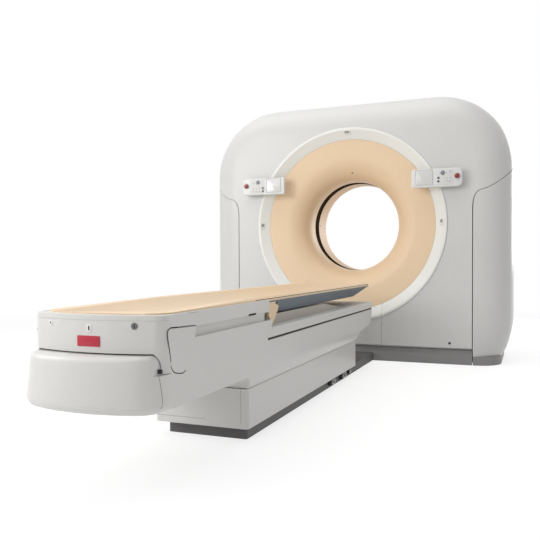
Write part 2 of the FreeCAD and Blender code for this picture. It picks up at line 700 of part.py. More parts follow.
# ---------------------------------------------------------------- rotating assembly
def rotor():
    front = size.drum_front
    back = front + size.drum_thickness
    axis = size.iso_height
    disc = tube("drum_disc", "y", size.hub_inner_radius, size.drum_radius, front, back, AXIS)
    hub = tube("drum_hub", "y", size.hub_inner_radius, size.hub_outer_radius, front,
               size.frame_front - size.clearance * 10, AXIS)
    rim = tube("drum_rim", "y", size.drum_radius - size.rim_wall, size.drum_radius,
               back - size.rim_depth, back, AXIS)
    keep("rotor_drum", fuse("rotor_drum", disc, hub, rim))
    keep("xray_tube", rod("xray_tube", "y", size.tube_radius, front - size.tube_length, front,
                          (sized(0), axis + size.tube_offset)))
    top = axis + size.tube_offset - size.tube_radius - size.clearance
    low = axis + size.collimator_low
    keep("collimator", prism("collimator", "xz", [
        (-size.collimator_low_half, low), (size.collimator_low_half, low),
        (size.collimator_high_half, top), (-size.collimator_high_half, top)],
        -size.collimator_front, front))
    near = size.focus_to_detector
    far = near + size.detector_depth
    focus = axis + size.focus_offset
    sin_fan = sine(size.detector_fan)
    cos_fan = cosine(size.detector_fan)
    keep("detector_arc", prism("detector_arc", "xz", [
        (-near * sin_fan, focus - near * cos_fan),
        (-far * sin_fan, focus - far * cos_fan, far, 1),
        (far * sin_fan, focus - far * cos_fan),
        (near * sin_fan, focus - near * cos_fan, near, -1)], -size.detector_front, front))
    keep("generator", block("generator", (-size.generator_outer, -size.generator_inner),
                            (-size.generator_front, front),
                            (axis - size.generator_half_height,
                             axis + size.generator_half_height)))
    keep("counterweight", block("counterweight", (size.weight_inner, size.weight_outer),
                                (-size.weight_front, front),
                                (axis - size.weight_half_height,
                                 axis + size.weight_half_height)))
    keep("slip_ring", tube("slip_ring", "y", size.slip_inner_radius, size.slip_outer_radius,
                           back, back + size.slip_depth, AXIS))


# ---------------------------------------------------------------- control panels
def control_panels():
    front = -size.panel_front
    low = size.panel_centre - size.panel_height / 2
    high = size.panel_centre + size.panel_height / 2
    small = size.panel_small_corner
    large = size.panel_corner
    inner = size.panel_inner
    outer = size.panel_outer
    slab = prism("panel_slab", "xz", [
        (inner + small, low), (outer - large, low, large, 1), (outer, low + large),
        (outer, high - large, large, 1), (outer - large, high),
        (inner + small, high, small, 1), (inner, high - small),
        (inner, low + small, small, 1)], front, front + size.panel_thickness)
    pedestal = block("panel_pedestal", (size.pedestal_inner, size.pedestal_outer),
                     (front + size.panel_thickness, -size.gantry_front),
                     (size.panel_centre - size.pedestal_half_height,
                      size.panel_centre + size.pedestal_half_height))
    estop_z = size.panel_centre + size.estop_row
    key_z = size.panel_centre + size.key_row_high
    estop_hole = rod("estop_hole", "y", size.estop_collar_radius + size.clearance, front - 1,
                     front + size.estop_depth + size.estop_travel + 1, (size.estop_x, estop_z))
    key_hole = rod("key_hole", "y", size.round_key_radius + size.clearance, front - 1,
                   front + size.round_key_depth + size.estop_travel, (size.round_key_x, key_z))
    right = keep("panel_right", cut("panel_right", fuse("panel_whole", slab, pedestal),
                                    fuse("panel_holes", estop_hole, key_hole)))
    keep("panel_left", mirrored("panel_left", right))

    face = front - size.film_thickness
    half = size.display_half_height
    glass = block("display_glass", (size.display_inner, size.display_outer), (face, front),
                  (size.panel_centre - half, size.panel_centre + half))
    keep("panel_displays", fuse("panel_displays", glass, mirrored("display_left", glass)))

    def keypad(name, columns):
        half = size.keypad_half_height
        film = block(name + "_film", (size.keypad_inner, size.keypad_outer), (face, front),
                     (size.panel_centre - half, size.panel_centre + half))
        pads = [film]
        for column, (x, radius, rows) in enumerate(columns):
            for number, height in enumerate(rows):
                pads.append(rod(f"{name}_pad_{column}{number}", "y", radius,
                                face - size.pad_height, front,
                                (x, size.panel_centre + height)))
        opening = rod(name + "_opening", "y", size.round_key_radius + size.clearance,
                      face - 2, front + 1, (size.round_key_x, key_z))
        return cut(name, fuse(name + "_whole", *pads), opening)
    dark = (size.key_column_inner, size.dark_pad_radius, (size.key_row_middle, size.key_row_low))
    right_pads = keypad("keypad_right", (
        dark,
        (size.key_column_middle, size.small_pad_radius, (size.key_row_middle, size.key_row_low)),
        (size.key_column_outer, size.small_pad_radius,
         (size.key_row_high, size.key_row_middle, size.key_row_low))))
    left_pads = keypad("keypad_left", (
        dark,
        (size.round_key_x, size.small_pad_radius, (size.key_row_middle, size.key_row_low)),
        (size.key_column_middle, size.small_pad_radius, (size.key_row_middle, size.key_row_low)),
        (size.key_column_outer, size.small_pad_radius,
         (size.key_row_high, size.key_row_middle, size.key_row_low))))
    keep("panel_keypads", fuse("panel_keypads", right_pads, mirrored("keypads_left", left_pads)))

    travel = size.estop_travel
    stem = rod("estop_stem", "y", size.estop_collar_radius, front - travel - 1,
               front + size.estop_depth, (size.estop_x, estop_z))
    cap = rod("estop_cap", "y", size.estop_radius, front - travel - 1 - size.estop_cap,
              front - travel - 1, (size.estop_x, estop_z))
    right = keep("estop_right", fuse("estop_right", stem, cap))
    keep("estop_left", mirrored("estop_left", right))
    key = rod("round_key_right", "y", size.round_key_radius,
              front - size.film_thickness - size.round_key_proud,
              front + size.round_key_depth, (size.round_key_x, key_z))
    keep("round_key_right", key)
    keep("round_key_left", mirrored("round_key_left", key))


# ---------------------------------------------------------------- couch base and column
def rounded_rectangle(half, foot, head, corner):
    """A rectangle in plan whose two corners at the foot end are rounded."""
    return [(half, head), (-half, head), (-half, foot + corner, corner, 1),
            (corner - half, foot), (half - corner, foot, corner, 1), (half, foot + corner)]


def couch_base():
    half = size.couch_plinth_half_width
    high = size.couch_plinth_height
    keep("couch_plinth", prism("couch_plinth", "xy", rounded_rectangle(
        half, size.couch_foot, size.duct_start, size.couch_plinth_corner), 0, high))
    keep("duct_cover", block("duct_cover", (-half, half), (size.duct_start, -size.base_front),
                             (0, high)))
    wall = size.base_cover_wall
    top = size.base_cover_top
    outer = prism("base_cover_outer", "xy", rounded_rectangle(
        size.base_cover_half_width, size.base_cover_foot, size.base_cover_head,
        size.base_cover_corner), high, top)
    inner = prism("base_cover_inner", "xy", rounded_rectangle(
        size.base_cover_half_width - wall, size.base_cover_foot + wall,
        size.base_cover_head - wall, size.base_cover_corner - wall), high + wall, top - wall)
    mouth = block("base_cover_mouth", (wall - size.base_cover_half_width,
                                       size.base_cover_half_width - wall),
                  (size.skirt_foot, size.base_cover_head - wall), (top - wall, top + 1))
    opening = size.column_opening
    hole = block("base_cover_hole", (-opening, opening),
                 (size.couch_axis - opening, size.couch_axis + opening), (0, top))
    keep("couch_base_cover", cut("couch_base_cover", outer,
                                 fuse("base_cover_inside", inner, mouth, hole)))


def square_tube(name, half, wall, low, high):
    axis = size.couch_axis
    outer = block(name + "_outer", (-half, half), (axis - half, axis + half), (low, high))
    bore = half - wall
    inner = block(name + "_bore", (-bore, bore), (axis - bore, axis + bore), (low - 1, high + 1))
    return cut(name, outer, inner)


def column():
    floor = size.couch_plinth_height
    wall = size.column_wall
    step = wall + size.column_slack
    keep("column_post", square_tube("column_post", size.column_half, wall, floor,
                                    size.column_top))
    cover_floor = floor + size.base_cover_wall
    foot = size.skirt_foot + size.body_wall
    head = size.base_cover_head - size.body_wall
    sheet_wall = size.shroud_wall
    for number, stage in enumerate(("lower", "upper")):
        low = cover_floor + size.stage_rise + number * (size.stage_floor + size.stage_rise)
        inset = size.shroud_gap + number * (sheet_wall + size.shroud_gap)
        half = size.base_cover_half_width - size.base_cover_wall - inset
        corner = size.base_cover_corner + size.shroud_softening - size.base_cover_wall - inset
        stage_half = size.column_half + step * (number + 1)
        shaft = square_tube(f"stage_{stage}_tube", stage_half, wall, low, size.column_top)
        tray = prism(f"stage_{stage}_tray", "xy", rounded_rectangle(
            half - sheet_wall, foot + inset + sheet_wall, head - inset - sheet_wall,
            corner - sheet_wall), low, low + size.stage_floor)
        opening = block(f"stage_{stage}_opening", (wall - stage_half, stage_half - wall),
                        (size.couch_axis + wall - stage_half, size.couch_axis + stage_half - wall),
                        (0, size.column_top + 1))
        keep(f"column_{stage}_stage", cut(f"column_{stage}_stage",
                                          fuse(f"stage_{stage}_whole", shaft, tray), opening))
        outer = prism(f"shroud_{stage}_outer", "xy", rounded_rectangle(
            half, foot + inset, head - inset, corner), low, size.shroud_top)
        inner = prism(f"shroud_{stage}_inner", "xy", rounded_rectangle(
            half - sheet_wall, foot + inset + sheet_wall, head - inset - sheet_wall,
            corner - sheet_wall), low - 1, size.shroud_top + 1)
        keep(f"shroud_{stage}", cut(f"shroud_{stage}", outer, inner))
    low = cover_floor + size.stage_rise + 2 * (size.stage_floor + size.stage_rise)
    plate_low = size.deck_top - size.deck_wall - size.frame_plate
    shaft = square_tube("column_top_tube", size.column_half + step * 3, wall, low, plate_low)
    plate = block("frame_top_plate", (-size.frame_plate_half, size.frame_plate_half),
                  (foot + size.frame_plate_inset, head - size.frame_plate_inset),
                  (plate_low, size.deck_top - size.deck_wall))
    keep("lift_frame", fuse("lift_frame", shaft, plate))


# ---------------------------------------------------------------- upper body of the couch
def body_form(name, inset, open_bottom):
    """The long box of the couch, drawn inwards by an inset."""
    half = size.body_half_width - inset
    skirt_half = size.base_cover_half_width - inset
    rise = size.body_shoulder - size.body_skirt
    flare_in = size.body_half_width - size.base_cover_half_width
    bend = (rise * rise + flare_in * flare_in) / (2 * flare_in)
    bottom = size.body_skirt
    top = size.body_end_top - inset
    section = prism(name + "_section", "xz", [
        (skirt_half, bottom, bend, 1), (half, size.body_shoulder), (half, top), (-half, top),
        (-half, size.body_shoulder, bend, 1), (-skirt_half, bottom)],
        size.body_foot - 1, size.body_head + 1)
    low = bottom - 1 if open_bottom else bottom
    nose = size.body_nose_round - inset
    side = prism(name + "_side", "yz", [
        (size.skirt_lip + inset, low), (size.base_cover_head - inset, low),
        (size.base_cover_head - inset, size.body_step_top + inset),
        (size.body_slope_end - inset, size.body_slope_low + inset),
        (size.body_slope_start - inset, size.body_nose_top - size.body_nose_round + inset,
         nose, 1),
        (size.body_head - inset, size.body_nose_top),
        (size.body_head - inset, size.body_low_top - inset),
        (size.high_wall_end - inset, size.body_low_top - inset),
        (size.high_wall_end - inset, size.body_high_top - inset),
        (size.end_shoulder - inset, size.body_high_top - inset),
        (size.end_shoulder - inset, size.body_end_top - inset),
        (size.body_foot + inset, size.body_end_top - inset),
        (size.body_foot + inset, size.beam_bottom + inset),
        (size.beam_start + inset, size.beam_bottom + inset)],
        -size.body_half_width - 1, size.body_half_width + 1)
    return common(name, section, side)


def end_rim(level, foot, depth):
    """Side outline of the rim that climbs from the shoulder to the foot of the body."""
    return [(foot, level - depth), (size.end_shoulder, level - depth),
            (size.end_shoulder, level + size.rim_rise_head), (foot, level + size.rim_rise_foot)]


def upper_body():
    outside = body_form("body_outside", sized(0), False)
    inside = body_form("body_inside", size.body_wall, True)
    ceiling = block("body_ceiling", (-FAR, FAR), (-FAR, FAR),
                    (size.deck_top - size.deck_wall, FAR))
    cavity = cut("body_cavity", inside, ceiling)
    channel = block("body_channel", (-size.channel_half_width, size.channel_half_width),
                    (size.body_foot + size.body_wall, size.body_head + 1),
                    (size.body_low_top, FAR))
    rail_channel = block("body_rail_channel", (-size.rail_channel_half, size.rail_channel_half),
                         (size.body_foot + size.body_wall, size.body_head + 1),
                         (size.deck_top, FAR))
    pocket = block("body_pocket", (size.rail_channel_half + size.body_wall,
                                   size.body_half_width - size.body_wall),
                   (size.body_foot + size.body_wall, size.body_head - size.body_wall),
                   (size.deck_top - size.deck_wall - 1, size.body_low_top - size.body_wall))
    slot = block("body_slot", (size.body_half_width - size.slot_depth, size.body_half_width + 1),
                 (size.slot_start, size.body_head + 1), (size.slot_low, size.slot_high))
    hollow = fuse("body_hollow", cavity, channel, rail_channel,
                  pocket, mirrored("body_pocket_left", pocket),
                  slot, mirrored("body_slot_left", slot))
    shell = cut("body_shell", outside, hollow)
    rim = prism("body_rim", "yz", end_rim(size.body_end_top, size.body_foot, sized(1)),
                size.top_half_width + size.panel_seam, size.body_half_width)
    cheeks = []
    centre_z = size.deck_top + size.belt_lift + size.belt_thickness + size.pulley_radius
    start = size.pulley_half_width + size.panel_seam / 2
    for place, y in (("foot", size.pulley_foot), ("head", size.pulley_head)):
        for side, low, high in (("right", start, start + size.cheek_wall),
                                ("left", -start - size.cheek_wall, -start)):
            cheeks.append(block(f"cheek_{place}_{side}", (low, high),
                                (y - size.cheek_half_length, y + size.cheek_half_length),
                                (size.deck_top, centre_z + size.cheek_half_length)))
    bores = [rod(f"cheek_bore_{place}", "x", size.shaft_radius + size.clearance,
                 -start - size.cheek_wall - 1, start + size.cheek_wall + 1, (y, centre_z))
             for place, y in (("foot", size.pulley_foot), ("head", size.pulley_head))]
    whole = fuse("body_with_cheeks", shell, rim, mirrored("body_rim_left", rim), *cheeks)
    keep("upper_body_cover", cut("upper_body_cover", whole,
                                 fuse("cheek_bores", *bores)))


def side_start(half, front, bow, corner):
    """Where the straight side of a bowed end starts, behind its rounded corner."""
    knee = half - corner
    reach = bow - corner
    return bow - front - root(reach * reach - knee * knee)


def bowed_end(half, front, bow, corner, back):
    """Plan outline with a bowed front that runs smoothly into rounded corners."""
    knee = half - corner
    reach = bow - corner
    side_front = side_start(half, front, bow, corner)
    depth = bow - front - side_front
    join_x = knee * bow / reach
    join_y = bow - front - depth * bow / reach
    return [(-half, back), (-half, side_front, corner, 1), (-join_x, join_y, bow, 1),
            (join_x, join_y, corner, 1), (half, side_front), (half, back)]


def leg_room(name, growth, back):
    """The room of the right leg of the foot end cover, which narrows below its shoulder."""
    outside = size.end_half_width + 20
    high = size.end_bottom + size.end_wall
    return prism(name, "xz", [
        (size.leg_inner - growth, size.leg_bottom - growth), (outside, size.leg_bottom - growth),
        (outside, high), (size.leg_inner_top - growth, high),
        (size.leg_inner_top - growth, size.end_bottom, size.leg_round, -1),
        (size.leg_inner - growth, size.leg_knee)],
        -size.end_front - growth, back)


def foot_end():
    wall = size.end_wall
    back = size.body_foot
    top = size.lip_seam
    outline = bowed_end(size.end_half_width, size.end_front, size.end_bow, size.end_corner, back)
    outer = prism("end_outer", "xy", outline, size.end_bottom, top)
    inner = prism("end_inner", "xy", bowed_end(
        size.end_half_width - wall, size.end_front - wall, size.end_bow - wall,
        size.end_corner - wall, back + 1), size.end_bottom + wall, top + 1)
    leg = common("end_leg", prism("end_leg_form", "xy", outline, size.leg_bottom,
                                  size.end_bottom + wall),
                 leg_room("end_leg_room", sized(0), back))
    keep("foot_end_cover", fuse("foot_end_cover", cut("end_shell", outer, inner), leg,
                                mirrored("end_leg_left", leg)))
    pod = prism("pod_form", "xy", bowed_end(size.pod_half_width, size.pod_front, size.pod_bow,
                                            size.pod_corner, back), size.pod_bottom, size.pod_top)
    before_back = size.body_foot.value - 1
    for level in (size.pod_top, size.pod_bottom):
        round_edges(pod, size.pod_round,
                    lambda edge: lies_at(edge, "z", level) and edge.CenterOfMass.y < before_back)
    seat = leg_room("pod_seat", size.panel_seam, back + 1)
    keep("foot_pod", cut("foot_pod", pod, fuse("pod_seats", seat,
                                               mirrored("pod_seat_left", seat))))
    front = -size.end_front
    plate = block("plate_block", (size.plate_left, size.plate_right),
                  (front - size.plate_thickness, front + size.end_wall),
                  (size.plate_low, size.plate_high))
    keep("red_plate", cut("red_plate", plate, outer))


# ---------------------------------------------------------------- table top and carriage
def top_section(low, radius, half):
    """Points of the table top's section, starting at the right-hand underside of the rim."""
    under_radius = radius + size.top_wall
    centre = low + radius
    rise = centre - size.rim_bottom
    under_half = root(under_radius * under_radius - rise * rise)
    edge = centre - root(radius * radius - half * half)
    return under_half, under_radius, edge


def table_top():
    half = size.top_half_width
    under_half, under_radius, edge = top_section(size.trough_low, size.trough_radius,
                                                 size.trough_half_width)
    knee = size.trough_half_width
    corner = size.rim_corner
    section = [
        (half, size.rim_bottom), (half, size.rim_edge), (corner, size.rim_top), (knee, edge,
        size.trough_radius, -1), (-knee, edge), (-corner, size.rim_top), (-half, size.rim_edge),
        (-half, size.rim_bottom), (-under_half, size.rim_bottom, under_radius, 1),
        (under_half, size.rim_bottom)]
    plan = prism("top_plan", "xy", bowed_end(half, -size.top_foot, size.end_bow,
                                             size.top_foot_corner, size.top_head),
                 size.trough_low - size.top_wall - 1, size.rim_top + 1)
    form = prism("top_form", "xz", section, size.top_foot - 1, size.top_head + 1)
    ramp = prism("top_ramp", "yz", [
        (size.top_foot - 1, size.trough_low - size.top_wall),
        (size.top_foot + size.foot_ramp, size.trough_low - size.top_wall),
        (size.top_foot + size.foot_ramp, size.trough_low),
        (size.top_foot - 1, size.foot_level)], -knee, knee)
    under = rod("top_under", "y", under_radius, size.top_foot - 2, size.top_head,
                (sized(0), size.trough_low + size.trough_radius))
    filled = fuse("top_filled", form, common("top_fill", ramp, under))
    above = prism("top_above", "yz", [
        (size.top_foot - 1, size.foot_level), (size.top_foot + size.foot_rise, size.rim_top),
        (size.top_foot + size.foot_rise, size.rim_top + 10),
        (size.top_foot - 1, size.rim_top + 10)], -size.top_half_width - 1,
        size.top_half_width + 1)
    keep("tabletop", common("tabletop", plan, cut("top_levelled", filled, above)))
    keel_half = size.keel_half_width
    low_half = size.keel_low_half_width
    keel = prism("keel_section", "xz", [
        (-low_half, size.keel_bottom), (low_half, size.keel_bottom),
        (keel_half, size.rim_bottom), (under_half, size.rim_bottom, under_radius, -1),
        (-under_half, size.rim_bottom), (-keel_half, size.rim_bottom)],
        size.keel_foot, size.keel_head)
    slant = prism("keel_slant", "yz", [
        (size.keel_low_head, size.keel_bottom), (size.keel_low_head, size.keel_bottom - 10),
        (FAR, size.keel_bottom - 10), (FAR, size.rim_bottom), (size.keel_head, size.rim_bottom)],
        -FAR, FAR)
    keep("tabletop_keel", cut("tabletop_keel", keel, slant))
    return under_half, under_radius


def carriage(under_half, under_radius):
    half = size.top_half_width - size.clearance
    body_half = size.carriage_half_width
    gap = size.clearance
    roof = size.rim_bottom
    foot = side_start(size.top_half_width, -size.top_foot, size.end_bow,
                      size.top_foot_corner) + size.panel_seam
    section = prism("carriage_section", "xz", [
        (-body_half, size.carriage_bottom), (body_half, size.carriage_bottom),
        (body_half, size.carriage_shelf), (half, size.carriage_shelf), (half, roof),
        (under_half, roof, under_radius, -1), (-under_half, roof), (-half, roof),
        (-half, size.carriage_shelf), (-body_half, size.carriage_shelf)],
        foot, size.carriage_head)
    nose = block("carriage_nose", (-body_half, body_half),
                 (size.carriage_head - 1, size.keel_foot - size.carriage_nose_gap),
                 (size.carriage_bottom, size.carriage_shelf))
    hollow_half = body_half - size.carriage_cheek
    hollow = block("carriage_hollow", (-hollow_half, hollow_half), (-FAR, FAR),
                   (size.carriage_bottom + size.carriage_floor, size.carriage_roof))
    frame = cut("carriage_open", fuse("carriage_form", section, nose), hollow)
    rail_top = size.deck_top + size.rail_height
    shoes = []
    for side, middle in (("right", size.rail_offset), ("left", -size.rail_offset)):
        for place, start in (("foot", foot + size.block_inset),
                             ("head", size.carriage_head - size.block_inset
                              - size.block_length)):
            shoes.append(block(f"shoe_{place}_{side}",
                               (middle - size.block_half_width, middle + size.block_half_width),
                               (start, start + size.block_length),
                               (rail_top + gap, size.carriage_bottom)))
    belt_top = size.deck_top + size.belt_lift + 2 * (size.belt_thickness + size.pulley_radius)
    clamp = block("belt_clamp", (-size.clamp_half_width, size.clamp_half_width),
                  (size.clamp_start, size.clamp_start + size.clamp_length),
                  (belt_top + gap, size.carriage_bottom))
    keep("carriage_frame", fuse("carriage_frame", frame, clamp, *shoes))

    outline = bowed_end(size.end_half_width, size.end_front, size.end_bow, size.end_corner,
                        size.trim_end)
    outer = prism("trim_outer", "xy", outline, size.lip_seam + size.seam, size.lip_top)
    rail = block("trim_rail", (size.top_half_width, size.end_half_width),
                 (size.body_foot + size.panel_seam / 2, size.trim_end), (size.trim_bottom, size.trim_top))
    inside = prism("trim_inside", "xy", bowed_end(size.top_half_width, -size.top_foot,
                                                  size.end_bow, size.top_foot_corner, 0),
                   0, FAR)
    whole = fuse("trim_whole", outer, rail, mirrored("trim_rail_left", rail))
    room = prism("trim_room", "yz", end_rim(size.trim_bottom, size.body_foot, sized(1)),
                 -size.end_half_width - 1, size.end_half_width + 1)
    keep("carriage_trim", cut("carriage_trim", whole, fuse("trim_rooms", inside, room)))


def brackets():
    start = size.high_wall_end
    tip = size.bracket_tip
    rim = size.rim_bottom
    outline = [
        (start - size.bracket_root, rim), (start - size.bracket_back, size.trim_bottom),
        (start, size.bracket_knee), (start + size.bracket_tip_reach, size.bracket_tip),
        (start + size.bracket_toe, size.keel_bottom + size.bracket_toe_rise),
        (start + size.bracket_reach, rim - size.bracket_drop),
        (start + size.bracket_notch, rim - size.bracket_lip),
        (start + size.bracket_top_reach, rim)]
    bracket = prism("bracket_form", "yz", outline,
                    size.top_half_width - size.bracket_thickness, size.top_half_width)
    room = block("bracket_room", (-FAR, FAR), (-FAR, size.carriage_head), (0, FAR))
    right = keep("bracket_right", cut("bracket_right", bracket, room))
    keep("bracket_left", mirrored("bracket_left", right))


def slide_drive():
    top = size.deck_top
    rails = []
    for side, middle in (("right", size.rail_offset), ("left", -size.rail_offset)):
        rails.append(block(f"rail_{side}",
                           (middle - size.rail_half_width, middle + size.rail_half_width),
                           (size.rail_foot, size.rail_head), (top, top + size.rail_height)))
    keep("slide_rails", fuse("slide_rails", *rails))
    centre_z = top + size.belt_lift + size.belt_thickness + size.pulley_radius
    foot = size.pulley_foot
    head = size.pulley_head

    def loop(name, radius, half):
        return prism(name, "yz", [
            (foot, centre_z + radius, radius, 1), (foot - radius, centre_z, radius, 1),
            (foot, centre_z - radius), (head, centre_z - radius, radius, 1),
            (head + radius, centre_z, radius, 1), (head, centre_z + radius)], -half, half)
    keep("slide_belt", cut("slide_belt",
                           loop("belt_outer", size.pulley_radius + size.belt_thickness,
                                size.belt_half_width),
                           loop("belt_inner", size.pulley_radius, size.belt_half_width + 1)))
    shaft_end = size.pulley_half_width + size.panel_seam / 2 + size.cheek_wall
    for name, y, extra in (("drive_pulley", foot, sized(10)), ("idler_pulley", head, sized(0))):
        wheel = rod(name + "_wheel", "x", size.pulley_radius - size.clearance,
                    -size.pulley_half_width, size.pulley_half_width, (y, centre_z))
        shaft = rod(name + "_shaft", "x", size.shaft_radius, -shaft_end, shaft_end + extra,
                    (y, centre_z))
        keep(name, fuse(name, wheel, shaft))
    start = shaft_end + size.panel_seam / 2
    half = size.drive_motor_half
    box = block("drive_box", (start, start + size.drive_motor_length), (foot - half, foot + half),
                (top, top + size.drive_motor_height))
    socket = rod("drive_socket", "x", size.shaft_radius + size.clearance, start - 1,
                 start + 10, (foot, centre_z))
    keep("slide_motor", cut("slide_motor", box, socket))


# ---------------------------------------------------------------- build, check and write
side_covers()
side_feet()
tilting_covers()
bore_parts()
laser_windows()
gantry_frame()
base_parts()
posts()
rotor()
control_panels()
couch_base()
column()
upper_body()
foot_end()
carriage(*table_top())
brackets()
slide_drive()
doc.recompute()

for thing in doc.Objects:
    if "Invalid" in thing.State or "Error" in thing.State:
        raise RuntimeError(f"{thing.Name} did not build: {thing.State}")
for name, thing in nodes.items():
    if thing.Shape.isNull() or not thing.Shape.isValid() or not thing.Shape.Solids:
        raise RuntimeError(f"{name} has no valid solid")

os.makedirs("parts", exist_ok=True)
for name, thing in nodes.items():
    thing.Shape.exportStep(os.path.join("parts", name + ".step"))
    box = thing.Shape.BoundBox
    print(f"{name}: {len(thing.Shape.Solids)} solid(s), {box.XLength:.0f} x {box.YLength:.0f}"
          f" x {box.ZLength:.0f} mm")
print(len(nodes), "nodes")
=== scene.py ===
"""Computed tomography scanner with its patient couch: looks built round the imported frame."""
from math import asin, atan, cos, pi, radians, sin, sqrt

import bmesh
import bpy
from mathutils import Matrix, Vector

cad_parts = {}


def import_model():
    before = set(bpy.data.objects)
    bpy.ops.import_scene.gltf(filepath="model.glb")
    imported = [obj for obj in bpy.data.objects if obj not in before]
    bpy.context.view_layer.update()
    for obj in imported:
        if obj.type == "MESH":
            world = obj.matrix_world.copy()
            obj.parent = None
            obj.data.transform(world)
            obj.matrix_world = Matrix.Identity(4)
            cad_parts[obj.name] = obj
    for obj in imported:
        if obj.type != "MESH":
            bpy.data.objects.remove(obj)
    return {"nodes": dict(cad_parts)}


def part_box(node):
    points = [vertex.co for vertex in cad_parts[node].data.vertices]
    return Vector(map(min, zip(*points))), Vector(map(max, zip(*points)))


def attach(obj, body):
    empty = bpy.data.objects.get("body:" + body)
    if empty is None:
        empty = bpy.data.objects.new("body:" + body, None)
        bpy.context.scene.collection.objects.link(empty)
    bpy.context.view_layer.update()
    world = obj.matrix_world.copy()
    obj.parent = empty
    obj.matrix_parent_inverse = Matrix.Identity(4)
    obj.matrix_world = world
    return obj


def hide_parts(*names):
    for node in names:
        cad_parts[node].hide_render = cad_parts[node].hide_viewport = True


bl_info = {
    "name": "CT scanner",
    "version": (1, 0, 0),
    "blender": (4, 5, 0),
    "location": "3D Viewport > Sidebar > CT scanner",
    "description": "Dresses the packed scanner with covers, controls and fittings",
    "category": "Object",
}

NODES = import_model()["nodes"]
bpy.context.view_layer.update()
ISO = 1.027                      # height of the bore axis, metres
BORE = 0.35                      # radius of the bore
COVER_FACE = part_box("front_cover")[0][1]     # y of the gantry's front face
SIDES = ((1, "right"), (-1, "left"))


# ---- shader building
def arithmetic(operation, swapped=False):
    """A method that adds one Math node on the value and another."""
    def method(self, other):
        first, second = (other, self) if swapped else (self, other)
        return self.math(operation, first, second)
    return method


class Value:
    """A socket of a tree; arithmetic on it adds Math nodes."""

    def __init__(self, nodes, socket):
        self.nodes = nodes
        self.socket = socket

    def math(self, operation, first, second=0.0):
        return self.nodes.add("Math", {0: first, 1: second}, operation=operation)

    __add__ = __radd__ = arithmetic("ADD")
    __sub__, __rsub__ = arithmetic("SUBTRACT"), arithmetic("SUBTRACT", True)
    __mul__ = __rmul__ = arithmetic("MULTIPLY")
    __gt__, __lt__ = arithmetic("GREATER_THAN"), arithmetic("LESS_THAN")
    maximum = arithmetic("MAXIMUM")

    def distance_to(self, other):
        return self.math("ABSOLUTE", self - other)

    def wave(self):
        return self.math("SINE", self)

    def root(self):
        return self.math("SQRT", self)

    def ramp(self, low, high):
        """0 below low, 1 above high and smooth between."""
        return self.nodes.add("MapRange", {"Value": self, 1: low, 2: high},
                              interpolation_type="SMOOTHSTEP")


class Nodes:
    """The nodes of one material or world."""

    def __init__(self, tree):
        self.tree = tree

    def add(self, kind, inputs=None, output=0, **settings):
        node = self.tree.nodes.new("ShaderNode" + kind)
        for key, setting in settings.items():
            setattr(node, key, setting)
        for key, amount in (inputs or {}).items():
            self.feed(node.inputs[key], amount)
        return Value(self, node.outputs[output])

    def feed(self, socket, amount):
        if isinstance(amount, Value):
            self.tree.links.new(amount.socket, socket)
        elif socket.type == "RGBA":
            socket.default_value = (*amount[:3], 1)
        else:
            socket.default_value = amount

    def seen(self):
        """1 for rays that show a thing: straight, mirrored or through glass."""
        camera, glossy, through = (self.add("LightPath", output=f"Is {ray} Ray")
                                   for ray in ("Camera", "Glossy", "Transmission"))
        return camera.maximum(glossy.maximum(through))


class Paint(Nodes):
    """One material, its shader and the patterns in it."""

    def __init__(self, name):
        self.material = bpy.data.materials.new(name)
        self.material.use_nodes = True
        super().__init__(self.material.node_tree)
        self.shader = self.tree.nodes["Principled BSDF"]

    def set(self, **amounts):
        for key, amount in amounts.items():
            self.feed(self.shader.inputs[key.replace("_", " ")], amount)

    def place(self):
        """The point on the piece, in metres, as it is at rest."""
        return self.add("TexCoord", output="Object")

    def axis(self, letter):
        return self.add("SeparateXYZ", {0: self.place()}, letter.upper())

    def noise(self, scale, detail=3.0, rough=0.5, stretch=None):
        point = self.place()
        if stretch:
            point = self.add("VectorMath", {0: point, 1: stretch}, operation="MULTIPLY")
        return self.add("TexNoise", {"Vector": point, "Scale": scale, "Detail": detail,
                                     "Roughness": rough})

    def mix(self, factor, first, second):
        return self.add("Mix", {0: factor, 6: first, 7: second}, 2, data_type="RGBA")

    def bump(self, height, strength, depth):
        self.set(Normal=self.add("Bump", {"Height": height, "Strength": strength,
                                          "Distance": depth}))


def shade(colour, factor):
    return tuple(min(1.0, part * factor) for part in colour[:3])


def moulded(name, colour, roughness=0.38, grain=420.0, depth=0.00012, coat=0.0, cloud=0.018,
            patches=1.7, mottle=38.0, strength=0.25, unevenness=0.1, specular=0.4):
    """Painted moulding: fine orange peel, faint clouding and slightly uneven gloss."""
    paint = Paint(name)
    peel = paint.noise(grain, 2.0, 0.55)
    slow = paint.noise(patches, 3.0, 0.5)
    fine = paint.noise(mottle, 4.0, 0.6)
    tone = (slow * 0.7 + fine * 0.3).ramp(0.3, 0.7)
    paint.set(Base_Color=paint.mix(tone, shade(colour, 1 - cloud), shade(colour, 1 + cloud)),
              Roughness=roughness + (fine - 0.5) * unevenness, Specular_IOR_Level=specular,
              Coat_Weight=coat, Coat_Roughness=0.12)
    paint.bump(peel, strength, depth)
    return paint


